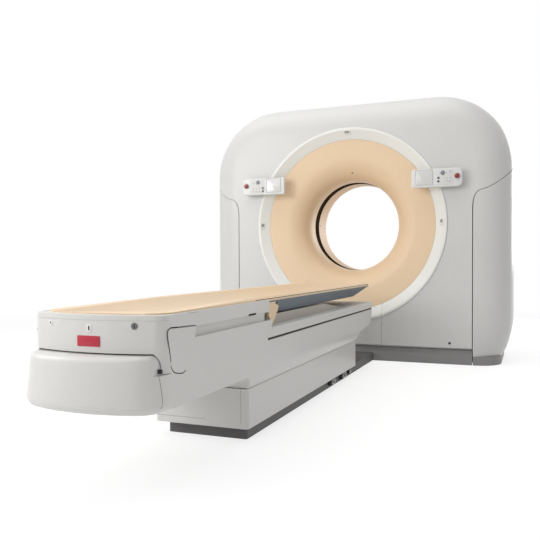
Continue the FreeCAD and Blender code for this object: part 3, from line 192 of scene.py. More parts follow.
def laminate(name, colour, roughness=0.42):
    """Table top skin: short fibres under a satin resin face."""
    paint = Paint(name)
    along, across = (paint.noise(260.0, 3.0, 0.6, stretch=stretch)
                     for stretch in ((1.0, 0.16, 1.0), (0.16, 1.0, 1.0)))
    slow = paint.noise(2.2, 3.0, 0.5)
    weave = along * 0.5 + across * 0.5
    tone = (slow * 0.6 + weave * 0.4).ramp(0.35, 0.65)
    paint.set(Base_Color=paint.mix(tone, shade(colour, 0.975), shade(colour, 1.02)),
              Roughness=roughness + (weave - 0.5) * 0.16)
    paint.bump(weave, 0.16, 0.0001)
    return paint


def metal(name, colour, roughness, grain=(1.0, 40.0, 1.0)):
    """Ground or turned metal: streaks along one axis."""
    paint = Paint(name)
    streak = paint.noise(24.0, 4.0, 0.6, stretch=grain)
    paint.set(Base_Color=paint.mix(streak, shade(colour, 0.9), shade(colour, 1.06)),
              Roughness=roughness + (streak - 0.5) * 0.2, Metallic=1.0)
    paint.bump(streak, 0.1, 0.0001)
    return paint


# ---- mesh building
class Seat:
    """A local frame on the object: across, up and out of the surface it is on."""

    def __init__(self, origin, across, up):
        self.origin = Vector(origin)
        self.across = Vector(across).normalized()
        self.up = Vector(up).normalized()
        self.out = self.across.cross(self.up)

    def point(self, across, up, out):
        return self.origin + self.across * across + self.up * up + self.out * out


def level_seat(x, y):
    """A seat on the floor plane, facing up."""
    return Seat((x, y, 0), (1, 0, 0), (0, 1, 0))


def front_seat(x, y, z):
    """A seat on a face that looks towards the couch."""
    return Seat((x, y, z), (1, 0, 0), (0, 0, 1))


def side_seat(x, y, z, side):
    """A seat on a face that looks to the right (side 1) or to the left (side -1)."""
    return Seat((x, y, z), (0, side, 0), (0, 0, 1))


def rounded(width, height, radius, steps=6, centre=(0.0, 0.0)):
    """Points of a rectangle with rounded corners, counter-clockwise; the radius may be four
    radii, from the upper right corner on."""
    radii = radius if isinstance(radius, tuple) else (radius,) * 4
    points = []
    for corner, (bend, sign_x, sign_y) in enumerate(zip(radii, (1, -1, -1, 1), (1, 1, -1, -1))):
        for step in range(steps + 1):
            angle = radians(90 * corner + 90 * step / steps)
            points.append((centre[0] + sign_x * (width / 2 - bend) + bend * cos(angle),
                           centre[1] + sign_y * (height / 2 - bend) + bend * sin(angle)))
    return points


def polar(radius, angle):
    """The point at a radius and an angle in degrees."""
    turn = radians(angle)
    return radius * cos(turn), radius * sin(turn)


def ring_of(radius, steps):
    return [polar(radius, 360 * step / steps) for step in range(steps)]


def arrow(reach, angle, centre=(0.0, 0.0)):
    """Triangle that points along an angle in degrees."""
    corners = [polar(reach, angle + turn) for turn in (0, 120, 240)]
    return [(centre[0] + x, centre[1] + y) for x, y in corners]


def stud(radius, base, shoulder, edge, top, crown=None):
    """Profile of a round cap: a straight side, a broken edge and a flat or crowned top."""
    return [(radius, base), (radius, shoulder), (radius - edge, top),
            (0.0, top if crown is None else crown)]


SHARP_ANGLE = radians(32.0)      # edges that turn by more are drawn sharp


def put(name, data):
    """Puts a new object with this data in the scene."""
    thing = bpy.data.objects.new(name, data)
    bpy.context.scene.collection.objects.link(thing)
    return thing


class Piece:
    """Collects faces on a seat, then becomes one object riding on a body."""

    def __init__(self, seat=None):
        self.mesh = bmesh.new()
        self.seat = seat or level_seat(0, 0)

    def loop(self, points, out, seat=None):
        seat = seat or self.seat
        return [self.mesh.verts.new(seat.point(u, v, out)) for u, v in points]

    def skin(self, below, above):
        count = len(below)
        for index in range(count):
            after = (index + 1) % count
            self.mesh.faces.new((below[index], below[after], above[after], above[index]))

    def join(self, loops, ring=False):
        """Skins from loop to loop; a ring joins the last to the first, else both are capped."""
        for low, high in zip(loops, loops[1:]):
            self.skin(low, high)
        if ring:
            self.skin(loops[-1], loops[0])
        else:
            self.mesh.faces.new(loops[-1])
            self.mesh.faces.new(loops[0][::-1])
        return self

    def plate(self, outline, base, top, edge=0.0, steps=3, seat=None):
        """A slab between two heights above its seat, with a rounded upper edge."""
        loops = [self.loop(outline, base, seat), self.loop(outline, top - edge, seat)]
        for step in range(1, steps + 1 if edge else 1):
            angle = pi / 2 * step / steps
            inset = edge * (1 - cos(angle))
            loops.append(self.loop(inward(outline, inset), top - edge + edge * sin(angle),
                                   seat))
        return self.join(loops)

    def turned(self, profile, steps, seat=None, ring=False):
        """A turned form from (radius, height) points, from the base outwards."""
        return self.join([self.loop(ring_of(max(radius, 1e-5), steps), height, seat)
                          for radius, height in profile], ring)

    def frame(self, outline, width, base, top, edge, seat=None):
        """A raised border of the outline, with both its upper edges broken."""
        inner = inward(outline, width)
        section = ((outline, base), (outline, top - edge), (inward(outline, edge), top),
                   (inward(outline, width - edge), top), (inner, top - edge), (inner, base))
        return self.join([self.loop(points, out, seat) for points, out in section], True)

    def ribbon(self, path, outs, width, depth):
        """A thin bar laid along a path, standing out of the surface it lies on."""
        loops = []
        for index, here in enumerate(path):
            here = Vector(here)
            before = Vector(path[max(index - 1, 0)])
            after = Vector(path[min(index + 1, len(path) - 1)])
            out = Vector(outs[index] if isinstance(outs, list) else outs).normalized()
            side = (after - before).normalized().cross(out).normalized() * (width / 2)
            rise, sink = out * depth, out * -depth
            loops.append([self.mesh.verts.new(point) for point in
                          (here - side + sink, here + side + sink, here + side + rise,
                           here - side + rise)])
        return self.join(loops)

    def finish(self, name, body, slot, paint, replaces=None):
        bmesh.ops.remove_doubles(self.mesh, verts=self.mesh.verts, dist=1e-6)
        bmesh.ops.recalc_face_normals(self.mesh, faces=self.mesh.faces)
        data = bpy.data.meshes.new(name)
        self.mesh.to_mesh(data)
        self.mesh.free()
        for face in data.polygons:
            face.use_smooth = True
        data.set_sharp_from_angle(angle=SHARP_ANGLE)
        thing = put(name, data)
        data.materials.append(paint.material)
        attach(thing, body)
        if replaces:
            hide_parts(replaces)


def inward(outline, inset):
    """The outline drawn towards its own inside by an inset, along each corner's bisector."""
    if inset <= 0:
        return outline
    count = len(outline)
    result = []
    for index in range(count):
        before = Vector(outline[index - 1])
        here = Vector(outline[index])
        after = Vector(outline[(index + 1) % count])
        first = (here - before).normalized()
        second = (after - here).normalized()
        normal = Vector((-first.y - second.y, first.x + second.x))
        if normal.length < 1e-9:
            normal = Vector((-first.y, first.x))
        normal.normalize()
        spread = max(0.5, normal.dot(Vector((-first.y, first.x))))
        moved = here + normal * (inset / spread)
        result.append((moved.x, moved.y))
    return result


FUNNEL_WALL = 0.006
LIP_STEPS = 26                   # facets of a funnel's round lip


def funnel_profile(window, throat, bend, rim, end):
    """(radius, height) points of a funnel's section: straight throat, round lip, cone."""
    centre = BORE + bend
    across, deep = rim - centre, end - throat
    square = across * across + deep * deep
    straight = sqrt(square - bend * bend)
    turn = asin((across * straight + deep * bend) / square)
    face, back = [(BORE, window)], [(BORE + FUNNEL_WALL, window)]
    for line, radius in ((face, bend), (back, bend - FUNNEL_WALL)):
        for step in range(LIP_STEPS + 1):
            angle = turn * step / LIP_STEPS
            line.append((centre - radius * cos(angle), throat + radius * sin(angle)))
    face.append((rim, end))
    back.append((rim + FUNNEL_WALL * cos(turn), end - FUNNEL_WALL * sin(turn)))
    return face + back[::-1]


# ---- settings
def colour_setting(name, part, default):
    return bpy.props.FloatVectorProperty(name=name, description="Colour of " + part,
                                         default=default, subtype="COLOR", size=3, min=0.0,
                                         max=1.0)


def length_setting(name, description, default):
    return bpy.props.FloatProperty(name=name, description=description, default=default,
                                   subtype="DISTANCE", unit="LENGTH")


class CoverSettings(bpy.types.PropertyGroup):
    cover: colour_setting("Cover", "the gantry's covers", (0.64, 0.635, 0.62))
    side: colour_setting("Side cover", "the fixed side covers", (0.63, 0.625, 0.61))
    ring: colour_setting("Ring", "the ring round the funnel", (0.82, 0.82, 0.78))
    cream: colour_setting("Funnel", "the funnel and the table top", (0.78, 0.588, 0.388))
    plinth: colour_setting("Plinth", "the kick plates", (0.17, 0.165, 0.165))
    couch: colour_setting("Couch", "the couch's covers", (0.68, 0.67, 0.65))
    keel: colour_setting("Keel", "the underside of the table top", (0.1, 0.125, 0.15))


class PanelSettings(bpy.types.PropertyGroup):
    housing: colour_setting("Housing", "the control panels", (0.7, 0.7, 0.69))
    stop: colour_setting("Emergency stop", "the stop buttons", (0.27, 0.012, 0.014))
    key: colour_setting("Key", "the round keys", (0.34, 0.37, 0.42))
    housing_edge: length_setting("Housing edge", "Rounding of the housing's front edge", 0.007)


class StageSettings(bpy.types.PropertyGroup):
    floor: colour_setting("Floor", "the floor and backdrop", (0.8, 0.8, 0.8))
    key_power: bpy.props.FloatProperty(name="Key light", description="Power of the main lamp",
                                       default=104.0, unit="POWER")


# ---- finishes of the CAD nodes
def cream_moulding(name, colour):
    """Warm, softly mottled moulding of the funnels."""
    return moulded(name, colour, 0.46, grain=380.0, cloud=0.015, patches=1.4, mottle=30.0,
                   strength=0.22, unevenness=0.12, specular=0.5)


RIM_SIDE = 0.2375                # the table's rim lies outside this distance from its middle
RIM_SHADOW_LINE = (0.5852, 0.5884)      # heights of the brown line of painted shadow along the rim
RIM_LINE_FOOT = -2.69            # y of the painted shadow line's end
KEEL_TOP = 0.5765                # the dark underside reaches up to here


def table_skin(name, colour, keel):
    """Cream top with a brown line of painted shadow along the rim and dark laminate under it."""
    paint = laminate(name, colour)
    skin = Value(paint, paint.shader.inputs["Base Color"].links[0].from_socket)
    height = paint.axis("z")
    outer = paint.axis("x").distance_to(0.0) > RIM_SIDE
    # the brown line is painted shadow: the dark gap under the rim's edge
    line = ((height > RIM_SHADOW_LINE[0]) * (height < RIM_SHADOW_LINE[1]) * outer
            * (paint.axis("y") > RIM_LINE_FOOT))
    rim = paint.mix(line, skin, (0.075, 0.045, 0.028))
    paint.set(Base_Color=paint.mix((height < KEEL_TOP) * outer, rim, keel))
    return paint


def dark_trim(name, colour=(0.02, 0.02, 0.021), roughness=0.5):
    """Black or grey small part: fine spark texture."""
    return moulded(name, colour, roughness, grain=1300.0, depth=0.00006, cloud=0.06)


PIXEL_RATE = 2600.0              # radians per metre of a display's raster


def screen_glass(name, colour):
    """Switched-off display: smooth sheet with a faint pixel raster."""
    paint = Paint(name)
    rows, columns = ((paint.axis(letter) * PIXEL_RATE).wave() for letter in "zx")
    raster = (columns * rows) * 0.5 + 0.5
    slow = paint.noise(9.0, 2.0)
    paint.set(Base_Color=paint.mix(slow * 0.5 + raster * 0.5, shade(colour, 0.97),
                                   shade(colour, 1.02)),
              Roughness=0.16 + slow * 0.06, Coat_Weight=0.4, Coat_Roughness=0.08)
    return paint


class SCANNER_OT_covers(bpy.types.Operator):
    """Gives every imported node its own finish"""

    bl_idname = "scanner.covers"
    bl_label = "Finish the covers"

    def execute(self, context):
        tone, panels = context.scene.scanner_covers, context.scene.scanner_panels
        table = {
            moulded("cover_moulding", tone.cover, 0.36):
                ("front_cover", "lower_front_panel", "middle_shell", "rear_cover"),
            moulded("side_moulding", tone.side, 0.34): ("side_cover_left", "side_cover_right"),
            moulded("ring_moulding", tone.ring, 0.4): ("funnel_ring", "laser_windows"),
            moulded("couch_moulding", tone.couch, 0.33):
                ("couch_base_cover", "upper_body_cover", "foot_end_cover", "foot_pod",
                 "carriage_trim"),
            cream_moulding("funnel_moulding", tone.cream): ("front_funnel", "rear_funnel"),
            table_skin("table_laminate", tone.cream, tone.keel): ("tabletop",),
            laminate("keel_laminate", tone.keel, 0.5): ("tabletop_keel",),
            moulded("bracket_moulding", shade(tone.cream, 1.03), 0.45):
                ("bracket_left", "bracket_right"),
            moulded("plinth_coating", shade(tone.plinth, 1.6), 0.5, 900.0, 0.0002):
                ("front_plinth", "rear_plinth", "side_feet"),
            moulded("couch_plinth_coating", shade(tone.plinth, 0.75), 0.55, 900.0, 0.0002):
                ("couch_plinth", "duct_cover"),
            moulded("frame_coating", (0.07, 0.075, 0.08), 0.5, 700.0, 0.0003):
                ("base_plate", "trunnion_post_left", "trunnion_post_right", "gantry_frame",
                 "column_post", "column_lower_stage", "column_upper_stage", "lift_frame",
                 "counterweight"),
            metal("ground_steel", (0.55, 0.56, 0.57), 0.28, (1.0, 0.03, 1.0)):
                ("main_bearing", "trunnion_bearings", "slide_rails"),
            metal("turned_alloy", (0.62, 0.63, 0.65), 0.36):
                ("rotor_drum", "slip_ring", "drive_pulley", "idler_pulley"),
            moulded("unit_coating", (0.16, 0.17, 0.18), 0.45, 600.0):
                ("tilt_gearmotor", "xray_tube", "collimator", "detector_arc", "generator",
                 "slide_motor"),
            moulded("shroud_coating", (0.46, 0.46, 0.45), 0.42):
                ("shroud_lower", "shroud_upper", "carriage_frame"),
            dark_trim("window_core", (0.04, 0.03, 0.02)): ("scan_window",),
            moulded("belt_rubber", (0.012, 0.012, 0.012), 0.8, 300.0, 0.0005): ("slide_belt",),
            moulded("housing_white", panels.housing, 0.32):
                ("panel_left", "panel_right", "panel_displays", "panel_keypads"),
            moulded("key_plastic", panels.key, 0.3): ("round_key_left", "round_key_right"),
            moulded("stop_plastic", panels.stop, 0.25): ("estop_left", "estop_right"),
            moulded("plate_plastic", (0.52, 0.018, 0.045), 0.35): ("red_plate",),
        }
        for paint, names in table.items():
            for name in names:
                node = NODES[name]
                node.data.materials.clear()
                node.data.materials.append(paint.material)
        return {"FINISHED"}


# ---- bore
# name, direction, end of the throat, radius of its lip, radius and depth of the rim
FUNNELS = (("front", 1, 0.11, 0.18, 0.65, 0.3), ("rear", -1, 0.208, 0.25, 0.64, 0.6))
BORE_SIDES = 192                 # facets round the bore
RING_SIDES = 240                 # facets round the ring's gasket
FILM_WALL, FILM_EDGE = 0.003, 0.0012
FILM_RATE = 2400.0               # radians per metre of the film's fine lines
EYE_PLACE, EYE_UP = (0.01, -0.2381, ISO + 0.4034), (0, -0.7026, 0.7116)
EYE = ((0.0062, -0.0006), (0.0062, 0.0002), (0.0054, 0.0008), (0.0044, 0.0002), (0.0, 0.0001))
BORE_SCREWS = ((0.088, 0.02, 0.0064), (0.198, 0.003, 0.0044))     # y, height, radius
GASKET = ((0.7371, 0.3322), (0.7371, 0.3342), (0.7379, 0.3346), (0.7379, 0.3322))
RING_SLANT = atan(0.635)    # slope of the ring's face
WINDOW_FACE = -0.3296            # y where the ring's face passes the windows' middle
WINDOW_REACH = 0.697             # from the bore axis to a light window's middle
WINDOW_LONG, WINDOW_SHORT, WINDOW_LIP = 0.064, 0.0445, 0.004


class SCANNER_OT_bore(bpy.types.Operator):
    """Turns the funnels, the scan window and the positioning windows of the ring"""

    bl_idname = "scanner.bore"
    bl_label = "Turn the bore"

    def execute(self, context):
        tone = context.scene.scanner_covers
        cream = cream_moulding("funnel_skin", tone.cream)
        black = dark_trim("bore_black")
        axis = front_seat(0, 0, ISO)
        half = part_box("scan_window")[1][1]
        for name, way, *form in FUNNELS:
            profile = [(radius, way * height) for radius, height in funnel_profile(half, *form)]
            Piece(axis).turned(profile, BORE_SIDES, ring=True).finish(
                name + "_funnel_skin", "gantry", "funnel_cream", cream, name + "_funnel")
        outer = BORE + FILM_WALL
        band = [(BORE, FILM_EDGE - half), (BORE, half - FILM_EDGE), (BORE + FILM_EDGE, half),
                (outer, half), (outer, -half), (BORE + FILM_EDGE, -half)]
        Piece(axis).turned(band, BORE_SIDES, ring=True).finish(
            "scan_window_film", "gantry", "scan_film", self.film(), "scan_window")
        Piece(Seat(EYE_PLACE, (1, 0, 0), EYE_UP)).turned(EYE, 24).finish(
            "funnel_eye", "gantry", "funnel_cream", black)
        screws = Piece()
        for y, z, radius in BORE_SCREWS:
            reach = sqrt(BORE ** 2 - z ** 2)
            seat = Seat((-reach, y, ISO + z), (0, 1, 0), (-z / BORE, 0, reach / BORE))
            screws.turned(stud(radius, -0.0006, 0.0004, 0.0006, 0.0008), 20, seat)
        screws.finish("bore_screws", "gantry", "funnel_cream", black)
        Piece(axis).turned(GASKET, RING_SIDES, ring=True).finish(
            "ring_gasket", "gantry", "cover_white", moulded("ring_gasket", tone.cover, 0.6))
        self.fit_windows(tone.ring)
        return {"FINISHED"}

    def film(self):
        """Dull dark film with fine lines along the bore."""
        film = Paint("scan_film")
        lines = (film.axis("y") * FILM_RATE).wave() * 0.5 + 0.5
        film.set(Base_Color=film.mix(film.noise(60.0), (0.034, 0.025, 0.016),
                                     (0.048, 0.036, 0.024)),
                 Roughness=0.75 + lines * 0.06, Specular_IOR_Level=0.0)
        film.bump(lines, 0.15, 0.0001)
        return film

    def fit_windows(self, colour):
        """Lays the light windows on the ring's slanted face: top, right and left, with painted
        light and shade: lighter borders, darker floors and dark panes set high.
        """
        lean, rise = sin(RING_SLANT), cos(RING_SLANT)
        border, shaded_floors, panes = Piece(), Piece(), Piece()
        for x, z, across, up in ((0, 1, (1, 0, 0), (0, -lean, rise)),
                                 (1, 0, (rise, -lean, 0), (0, 0, 1)),
                                 (-1, 0, (rise, lean, 0), (0, 0, 1))):
            wide, tall = (WINDOW_SHORT, WINDOW_LONG) if x else (WINDOW_LONG, WINDOW_SHORT)
            inner_wide, inner_tall = wide - 2 * WINDOW_LIP, tall - 2 * WINDOW_LIP
            seat = Seat((x * WINDOW_REACH, WINDOW_FACE, ISO + z * WINDOW_REACH), across, up)
            border.frame(rounded(wide, tall, 0.012), WINDOW_LIP, 0.0, 0.0015, 0.0007, seat)
            shaded_floors.plate(rounded(inner_wide, inner_tall, 0.009), 0.0, 0.0003, seat=seat)
            panes.plate(rounded(inner_wide * 0.62, inner_tall * 0.42, 0.004,
                                centre=(-wide * 0.1, tall * 0.17)),
                        0.0002, 0.0009, 0.0003, 2, seat)
        # borders a little lighter than the ring: painted light on the pocket's rim
        border.finish("window_borders", "gantry", "laser_window",
                      moulded("window_border_lit", shade(colour, 1.04), 0.36), "laser_windows")
        # floors darker than the ring: painted shade of a deeper recess
        shaded_floors.finish("window_recesses", "gantry", "laser_window",
                      moulded("window_recess", shade(colour, 0.86), 0.42))
        # panes: dark glass set in the upper part, partly painted shade of the recess
        panes.finish("window_panes", "gantry", "laser_window",
                     screen_glass("window_glass", (0.3, 0.31, 0.28)))


# ---- control panels
# what is printed on the small keys
SIGNS = {"dot": ring_of(0.0036, 20), "bar": rounded(0.0084, 0.0028, 0.001, 3)}
SIGNS.update((sign, arrow(0.0046, angle)) for sign, angle
             in (("up", 90), ("down", 270), ("left", 180), ("right", 0)))
# x, z and sign of each small key, and x and z of the dark ones
SMALL_KEYS = {"right": ((0.762, 1.382, "dot"), (0.741, 1.336, "up"), (0.761, 1.335, "bar"),
                        (0.742, 1.316, "down"), (0.761, 1.315, "dot")),
              "left": ((-0.753, 1.369, "dot"), (-0.753, 1.328, "up"), (-0.727, 1.327, "bar"),
                       (-0.701, 1.326, "right"), (-0.753, 1.305, "down"),
                       (-0.727, 1.303, "dot"), (-0.701, 1.302, "left"))}
DARK_KEYS = {"right": ((0.682, 1.339), (0.681, 1.315)),
             "left": ((-0.67, 1.328), (-0.67, 1.304))}
KEY_PROUD = 0.0006               # the keys' feet stand out this far from the panel's face
PANEL_RADII = (0.034, 0.012)     # corners at the panel's outer and inner end
BOARD_DEPTH = 0.03               # thickness of the panel in front of its pedestal
PEDESTAL = (0.791, 0.082, 0.088, 0.01)       # x, width, height and corner
SCREEN, KEYPAD = (0.5805, 1.347), (0.72, 1.345)      # x and z of their middles
STOP_COLLAR = ((0.024, 0.0), (0.024, 0.0014), (0.0228, 0.0026), (0.02, 0.003),
               (0.0184, 0.0024), (0.0178, 0.001), (0.0178, 0.0))
STOP_STEM = 0.01
# the stop button's cap: how far each point lies inside its radius and below its top
STOP_CAP = ((0.001, 0.0118), (0.0, 0.0105), (0.0, 0.0085), (0.0016, 0.004), (0.0048, 0.0012),
            (0.0095, 0.0002))


def button_seat(node):
    """The seat behind a button, the button's radius and how far it stands out."""
    low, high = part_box(node)
    seat = front_seat((low[0] + high[0]) / 2, high[1], (low[2] + high[2]) / 2)
    return seat, (high[0] - low[0]) / 2, high[1] - low[1]


class SCANNER_OT_panels(bpy.types.Operator):
    """Builds the control panels with their displays, keys and stop buttons"""

    bl_idname = "scanner.panels"
    bl_label = "Build the control panels"

    def execute(self, context):
        tone = context.scene.scanner_panels
        white = moulded("panel_moulding", tone.housing, 0.3, coat=0.1)
        film = moulded("keypad_film", shade(tone.housing, 0.955), 0.42, 1500.0)
        glass = screen_glass("display_glass", shade(tone.housing, 0.93))
        bezel = moulded("display_bezel", shade(tone.housing, 0.42), 0.4)
        ink = moulded("key_print", (0.2, 0.2, 0.205), 0.45, 1500.0)
        dark = moulded("dark_key", (0.11, 0.115, 0.12), 0.4, 1500.0)
        disc = moulded("key_disc", (0.42, 0.43, 0.45), 0.42, 1500.0)
        red = moulded("stop_plastic", tone.stop, 0.28, coat=0.3)
        pale = moulded("stop_collar", shade(tone.housing, 0.92), 0.36)
        grey = moulded("key_plastic", tone.key, 0.35)
        displays, bezels, pads, films, prints, darks, discs = (Piece() for _ in range(7))
        for side, hand in SIDES:
            low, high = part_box("panel_" + hand)
            face = low[1]
            self.build_housing(side, hand, low, high, tone.housing_edge, white)
            screen = front_seat(SCREEN[0] * side, face, SCREEN[1])
            bezels.frame(rounded(0.125, 0.11, 0.006), 0.0016, 0.0, 0.0016, 0.0004, screen)
            displays.plate(rounded(0.119, 0.104, 0.004), 0.0, 0.0012, 0.0005, 2, screen)
            films.plate(rounded(0.128, 0.112, 0.008), 0.0, 0.0008, 0.0003, 2,
                        front_seat(KEYPAD[0] * side, face, KEYPAD[1]))
            for x, z, sign in SMALL_KEYS[hand]:
                key = front_seat(x, face - KEY_PROUD, z)
                pads.plate(rounded(0.0135, 0.0135, 0.004), 0.0, 0.0012, 0.0005, 3, key)
                prints.plate(SIGNS[sign], 0.001, 0.0014, seat=key)
            for x, z in DARK_KEYS[hand]:
                key = front_seat(x, face - KEY_PROUD, z)
                pads.turned(stud(0.0115, 0.0, 0.0008, 0.0005, 0.0012), 28, key)
                darks.turned(stud(0.0088, 0.001, 0.0016, 0.0008, 0.002, 0.0022), 28, key)
            x, z = self.build_round_key(hand, dark, grey)
            halo = front_seat(x, face - KEY_PROUD, z)
            discs.turned(stud(0.0175, 0.0, 0.0004, 0.0004, 0.0007), 40, halo)
            for angle in (0, 180):
                prints.plate(arrow(0.0034, angle, polar(0.023, angle)), 0.0, 0.0008, seat=halo)
            self.build_stop_button(hand, face, red, pale, ink)
        for piece, name, slot, paint, *replaced in (
                (bezels, "display_bezels", "display_grey", bezel),
                (displays, "display_panes", "display_grey", glass, "panel_displays"),
                (films, "keypad_films", "keypad_film", film, "panel_keypads"),
                (pads, "keypad_pads", "keypad_film", film),
                (prints, "keypad_prints", "keypad_film", ink),
                (darks, "keypad_dark_keys", "keypad_film", dark),
                (discs, "keypad_discs", "keypad_film", disc)):
            piece.finish(name, "gantry", slot, paint, *replaced)
        return {"FINISHED"}

    def build_housing(self, side, hand, low, high, edge, paint):
        """A board with one wide-rounded end on a pedestal, with a shadow gap round it."""
        middle, deep = (low[0] + high[0]) / 2, high[1] - low[1]
        big, small = PANEL_RADII
        radii = (big, small, small, big) if side > 0 else (small, big, big, small)
        outline = rounded(high[0] - low[0], high[2] - low[2], radii)
        board = Piece(front_seat(middle, high[1], (low[2] + high[2]) / 2))
        board.plate(inward(outline, 0.002), deep - BOARD_DEPTH, deep - BOARD_DEPTH + 0.002)
        board.plate(outline, deep - BOARD_DEPTH + 0.0015, deep, edge, 5)
        x, wide, tall, corner = PEDESTAL
        board.plate(rounded(wide, tall, corner, centre=(x * side - middle, 0)), 0.0,
                    deep - BOARD_DEPTH + 0.001)
        board.finish("panel_housing_" + hand, "gantry", "panel_white", paint, "panel_" + hand)

    def build_round_key(self, hand, dark, grey):
        """A dark ring with a pale cap; gives the x and z of its middle."""
        node = "round_key_" + hand
        seat, reach, rise = button_seat(node)
        ring = [(reach, 0.0), (reach, rise - 0.002), (reach - 0.0008, rise - 0.0006),
                (reach - 0.002, rise), (reach * 0.62, rise), (reach * 0.58, rise - 0.0012),
                (0.0, rise - 0.0012)]
        Piece(seat).turned(ring, 40).finish("round_key_ring_" + hand, node, "key_grey", dark, node)
        cap = stud(reach * 0.56, rise - 0.0015, rise - 0.0007, reach * 0.06, rise - 0.0002, rise)
        Piece(seat).turned(cap, 36).finish("round_key_cap_" + hand, node, "key_grey", grey)
        return seat.origin.x, seat.origin.z

    def build_stop_button(self, hand, face, red, pale, ink):
        """A mushroom button that moves in a fixed collar with three marks."""
        node = "estop_" + hand
        seat, reach, rise = button_seat(node)
        cap = [(STOP_STEM, 0.0), (STOP_STEM, rise - 0.0115)]
        cap += [(reach - inset, rise - drop) for inset, drop in STOP_CAP] + [(0.0, rise)]
        Piece(seat).turned(cap, 48).finish("stop_mushroom_" + hand, node, "button_red", red, node)
        rest = front_seat(seat.origin.x, face, seat.origin.z)
        Piece(rest).turned(STOP_COLLAR, 48, ring=True).finish(
            "stop_collar_" + hand, "gantry", "panel_white", pale)
        marks = Piece(rest)
        for angle in (90, 210, 330):
            marks.plate(arrow(0.0022, angle - 100, polar(0.0208, angle)), 0.0024, 0.0032)
        marks.finish("stop_marks_" + hand, "gantry", "panel_white", ink)


# ---- couch fittings
END_FRONT, END_BOW = -3.475, 0.7       # y of the foot end's face and radius of its bow


def bow_seat(x, z):
    """A seat on the bowed face of the foot end."""
    deep = sqrt(END_BOW * END_BOW - x * x)
    return Seat((x, END_FRONT + END_BOW - deep, z), (deep, x, 0), (0, 0, 1))


# y and z of points along the seam that parts the foot end's leg from the body
LEG_SEAM_FRONT = ((-3.3922, 0.5412), (-3.4, 0.5398), (-3.4062, 0.536), (-3.41, 0.531),
                  (-3.4116, 0.5255), (-3.4104, 0.516), (-3.4069, 0.5), (-3.3998, 0.474),
                  (-3.3935, 0.446), (-3.3922, 0.434))
LEG_SEAM_BACK = ((-3.391, 0.432), (-3.3878, 0.4195), (-3.38, 0.4075), (-3.369, 0.399),
                 (-3.356, 0.3945), (-3.34, 0.3915), (-3.322, 0.3885), (-3.312, 0.389),
                 (-3.3035, 0.391), (-3.296, 0.3945))
POD_CORNER = (0.157, -3.4155, 0.105)      # centre x, centre y and radius of the pod's corner
POD_BACK, POD_FRONT, POD_BOW = -3.392, 0.154, 0.6     # y of its back, depth, radius of its bow
POD_STEPS = 12                   # facets of each of the pod's corners and half bows
# height, inset and half width of the pod, which leaves room for the legs of the foot end
POD_LEVELS = ((0.281, 0.028, 1.0), (0.2835, 0.0185, 1.0), (0.289, 0.0105, 1.0),
              (0.297, 0.0045, 1.0), (0.306, 0.0012, 1.0), (0.314, 0.0, 1.0),
              (0.3992, 0.0083, 1.0), (0.3996, 0.0083, 0.2355), (0.424, 0.0105, 0.2355),
              (0.4382, 0.012, 0.233), (0.447, 0.0135, 0.23), (0.4525, 0.0165, 0.2265),
              (0.457, 0.0215, 0.2215), (0.459, 0.029, 0.215))
# angle round the corner and height of points along the seam that parts front and cheeks
POD_SEAM = ((0.414, 0.402), (0.387, 0.39), (0.362, 0.374), (0.345, 0.358), (0.332, 0.342),
            (0.326, 0.328), (0.334, 0.317), (0.356, 0.308), (0.392, 0.301))


def pod_inset(z):
    """How far the pod's face stands back at a height."""
    for (low, near, _), (high, far, _) in zip(POD_LEVELS, POD_LEVELS[1:]):
        if low <= z <= high:
            return near + (far - near) * (z - low) / (high - low)
    return 0.0


def pod_outline(inset, limit):
    """Half-round plan of the pod as (x, depth) points from its back."""
    middle, start, bend = POD_CORNER
    bend, bow = bend - inset, POD_BOW - inset
    turn = asin(middle / (POD_BOW - POD_CORNER[2]))
    right = [(middle + bend, 0.0)]
    for step in range(POD_STEPS + 1):
        angle = (pi / 2 - turn) * step / POD_STEPS
        right.append((middle + bend * cos(angle),
                      POD_BACK - start + bend * sin(angle)))
    for step in range(1, POD_STEPS):
        angle = turn * (1 - step / POD_STEPS)
        right.append((bow * sin(angle), POD_FRONT - POD_BOW + bow * cos(angle)))
    right = [(min(x, limit), deep) for x, deep in right]
    return right + [(0.0, POD_FRONT - inset)] + [(-x, deep) for x, deep in reversed(right)]


END_SIDE, BODY_SIDE = 0.252, 0.25        # x of the foot end's and rail's face, and the body's
RECESS_SIDE = 0.2262                     # x of the floor of the recess beside the carriage
SOCKET_Z = 0.034
# y, length and height of each socket in the couch's base
SOCKETS = ((-1.4435, 0.097, 0.034), (-1.2025, 0.109, 0.042), (-1.067, 0.038, 0.03))
RAIL_VENTS = (4, -3.268, 0.0157)         # number, first y and pitch
# y and z of the corners of the curtain beside the slide drive
CURTAIN = ((-2.53, 0.4636), (-1.25, 0.4636), (-1.62, 0.509), (-2.53, 0.509))
DECK = (0.4622, 0.4634)                  # bottom and top of the thin deck over the slide drive
LOCK_RIM = ((0.0108, -0.0008), (0.0108, 0.0012), (0.01, 0.0022), (0.0086, 0.0022),
            (0.008, 0.001), (0.0, 0.001))


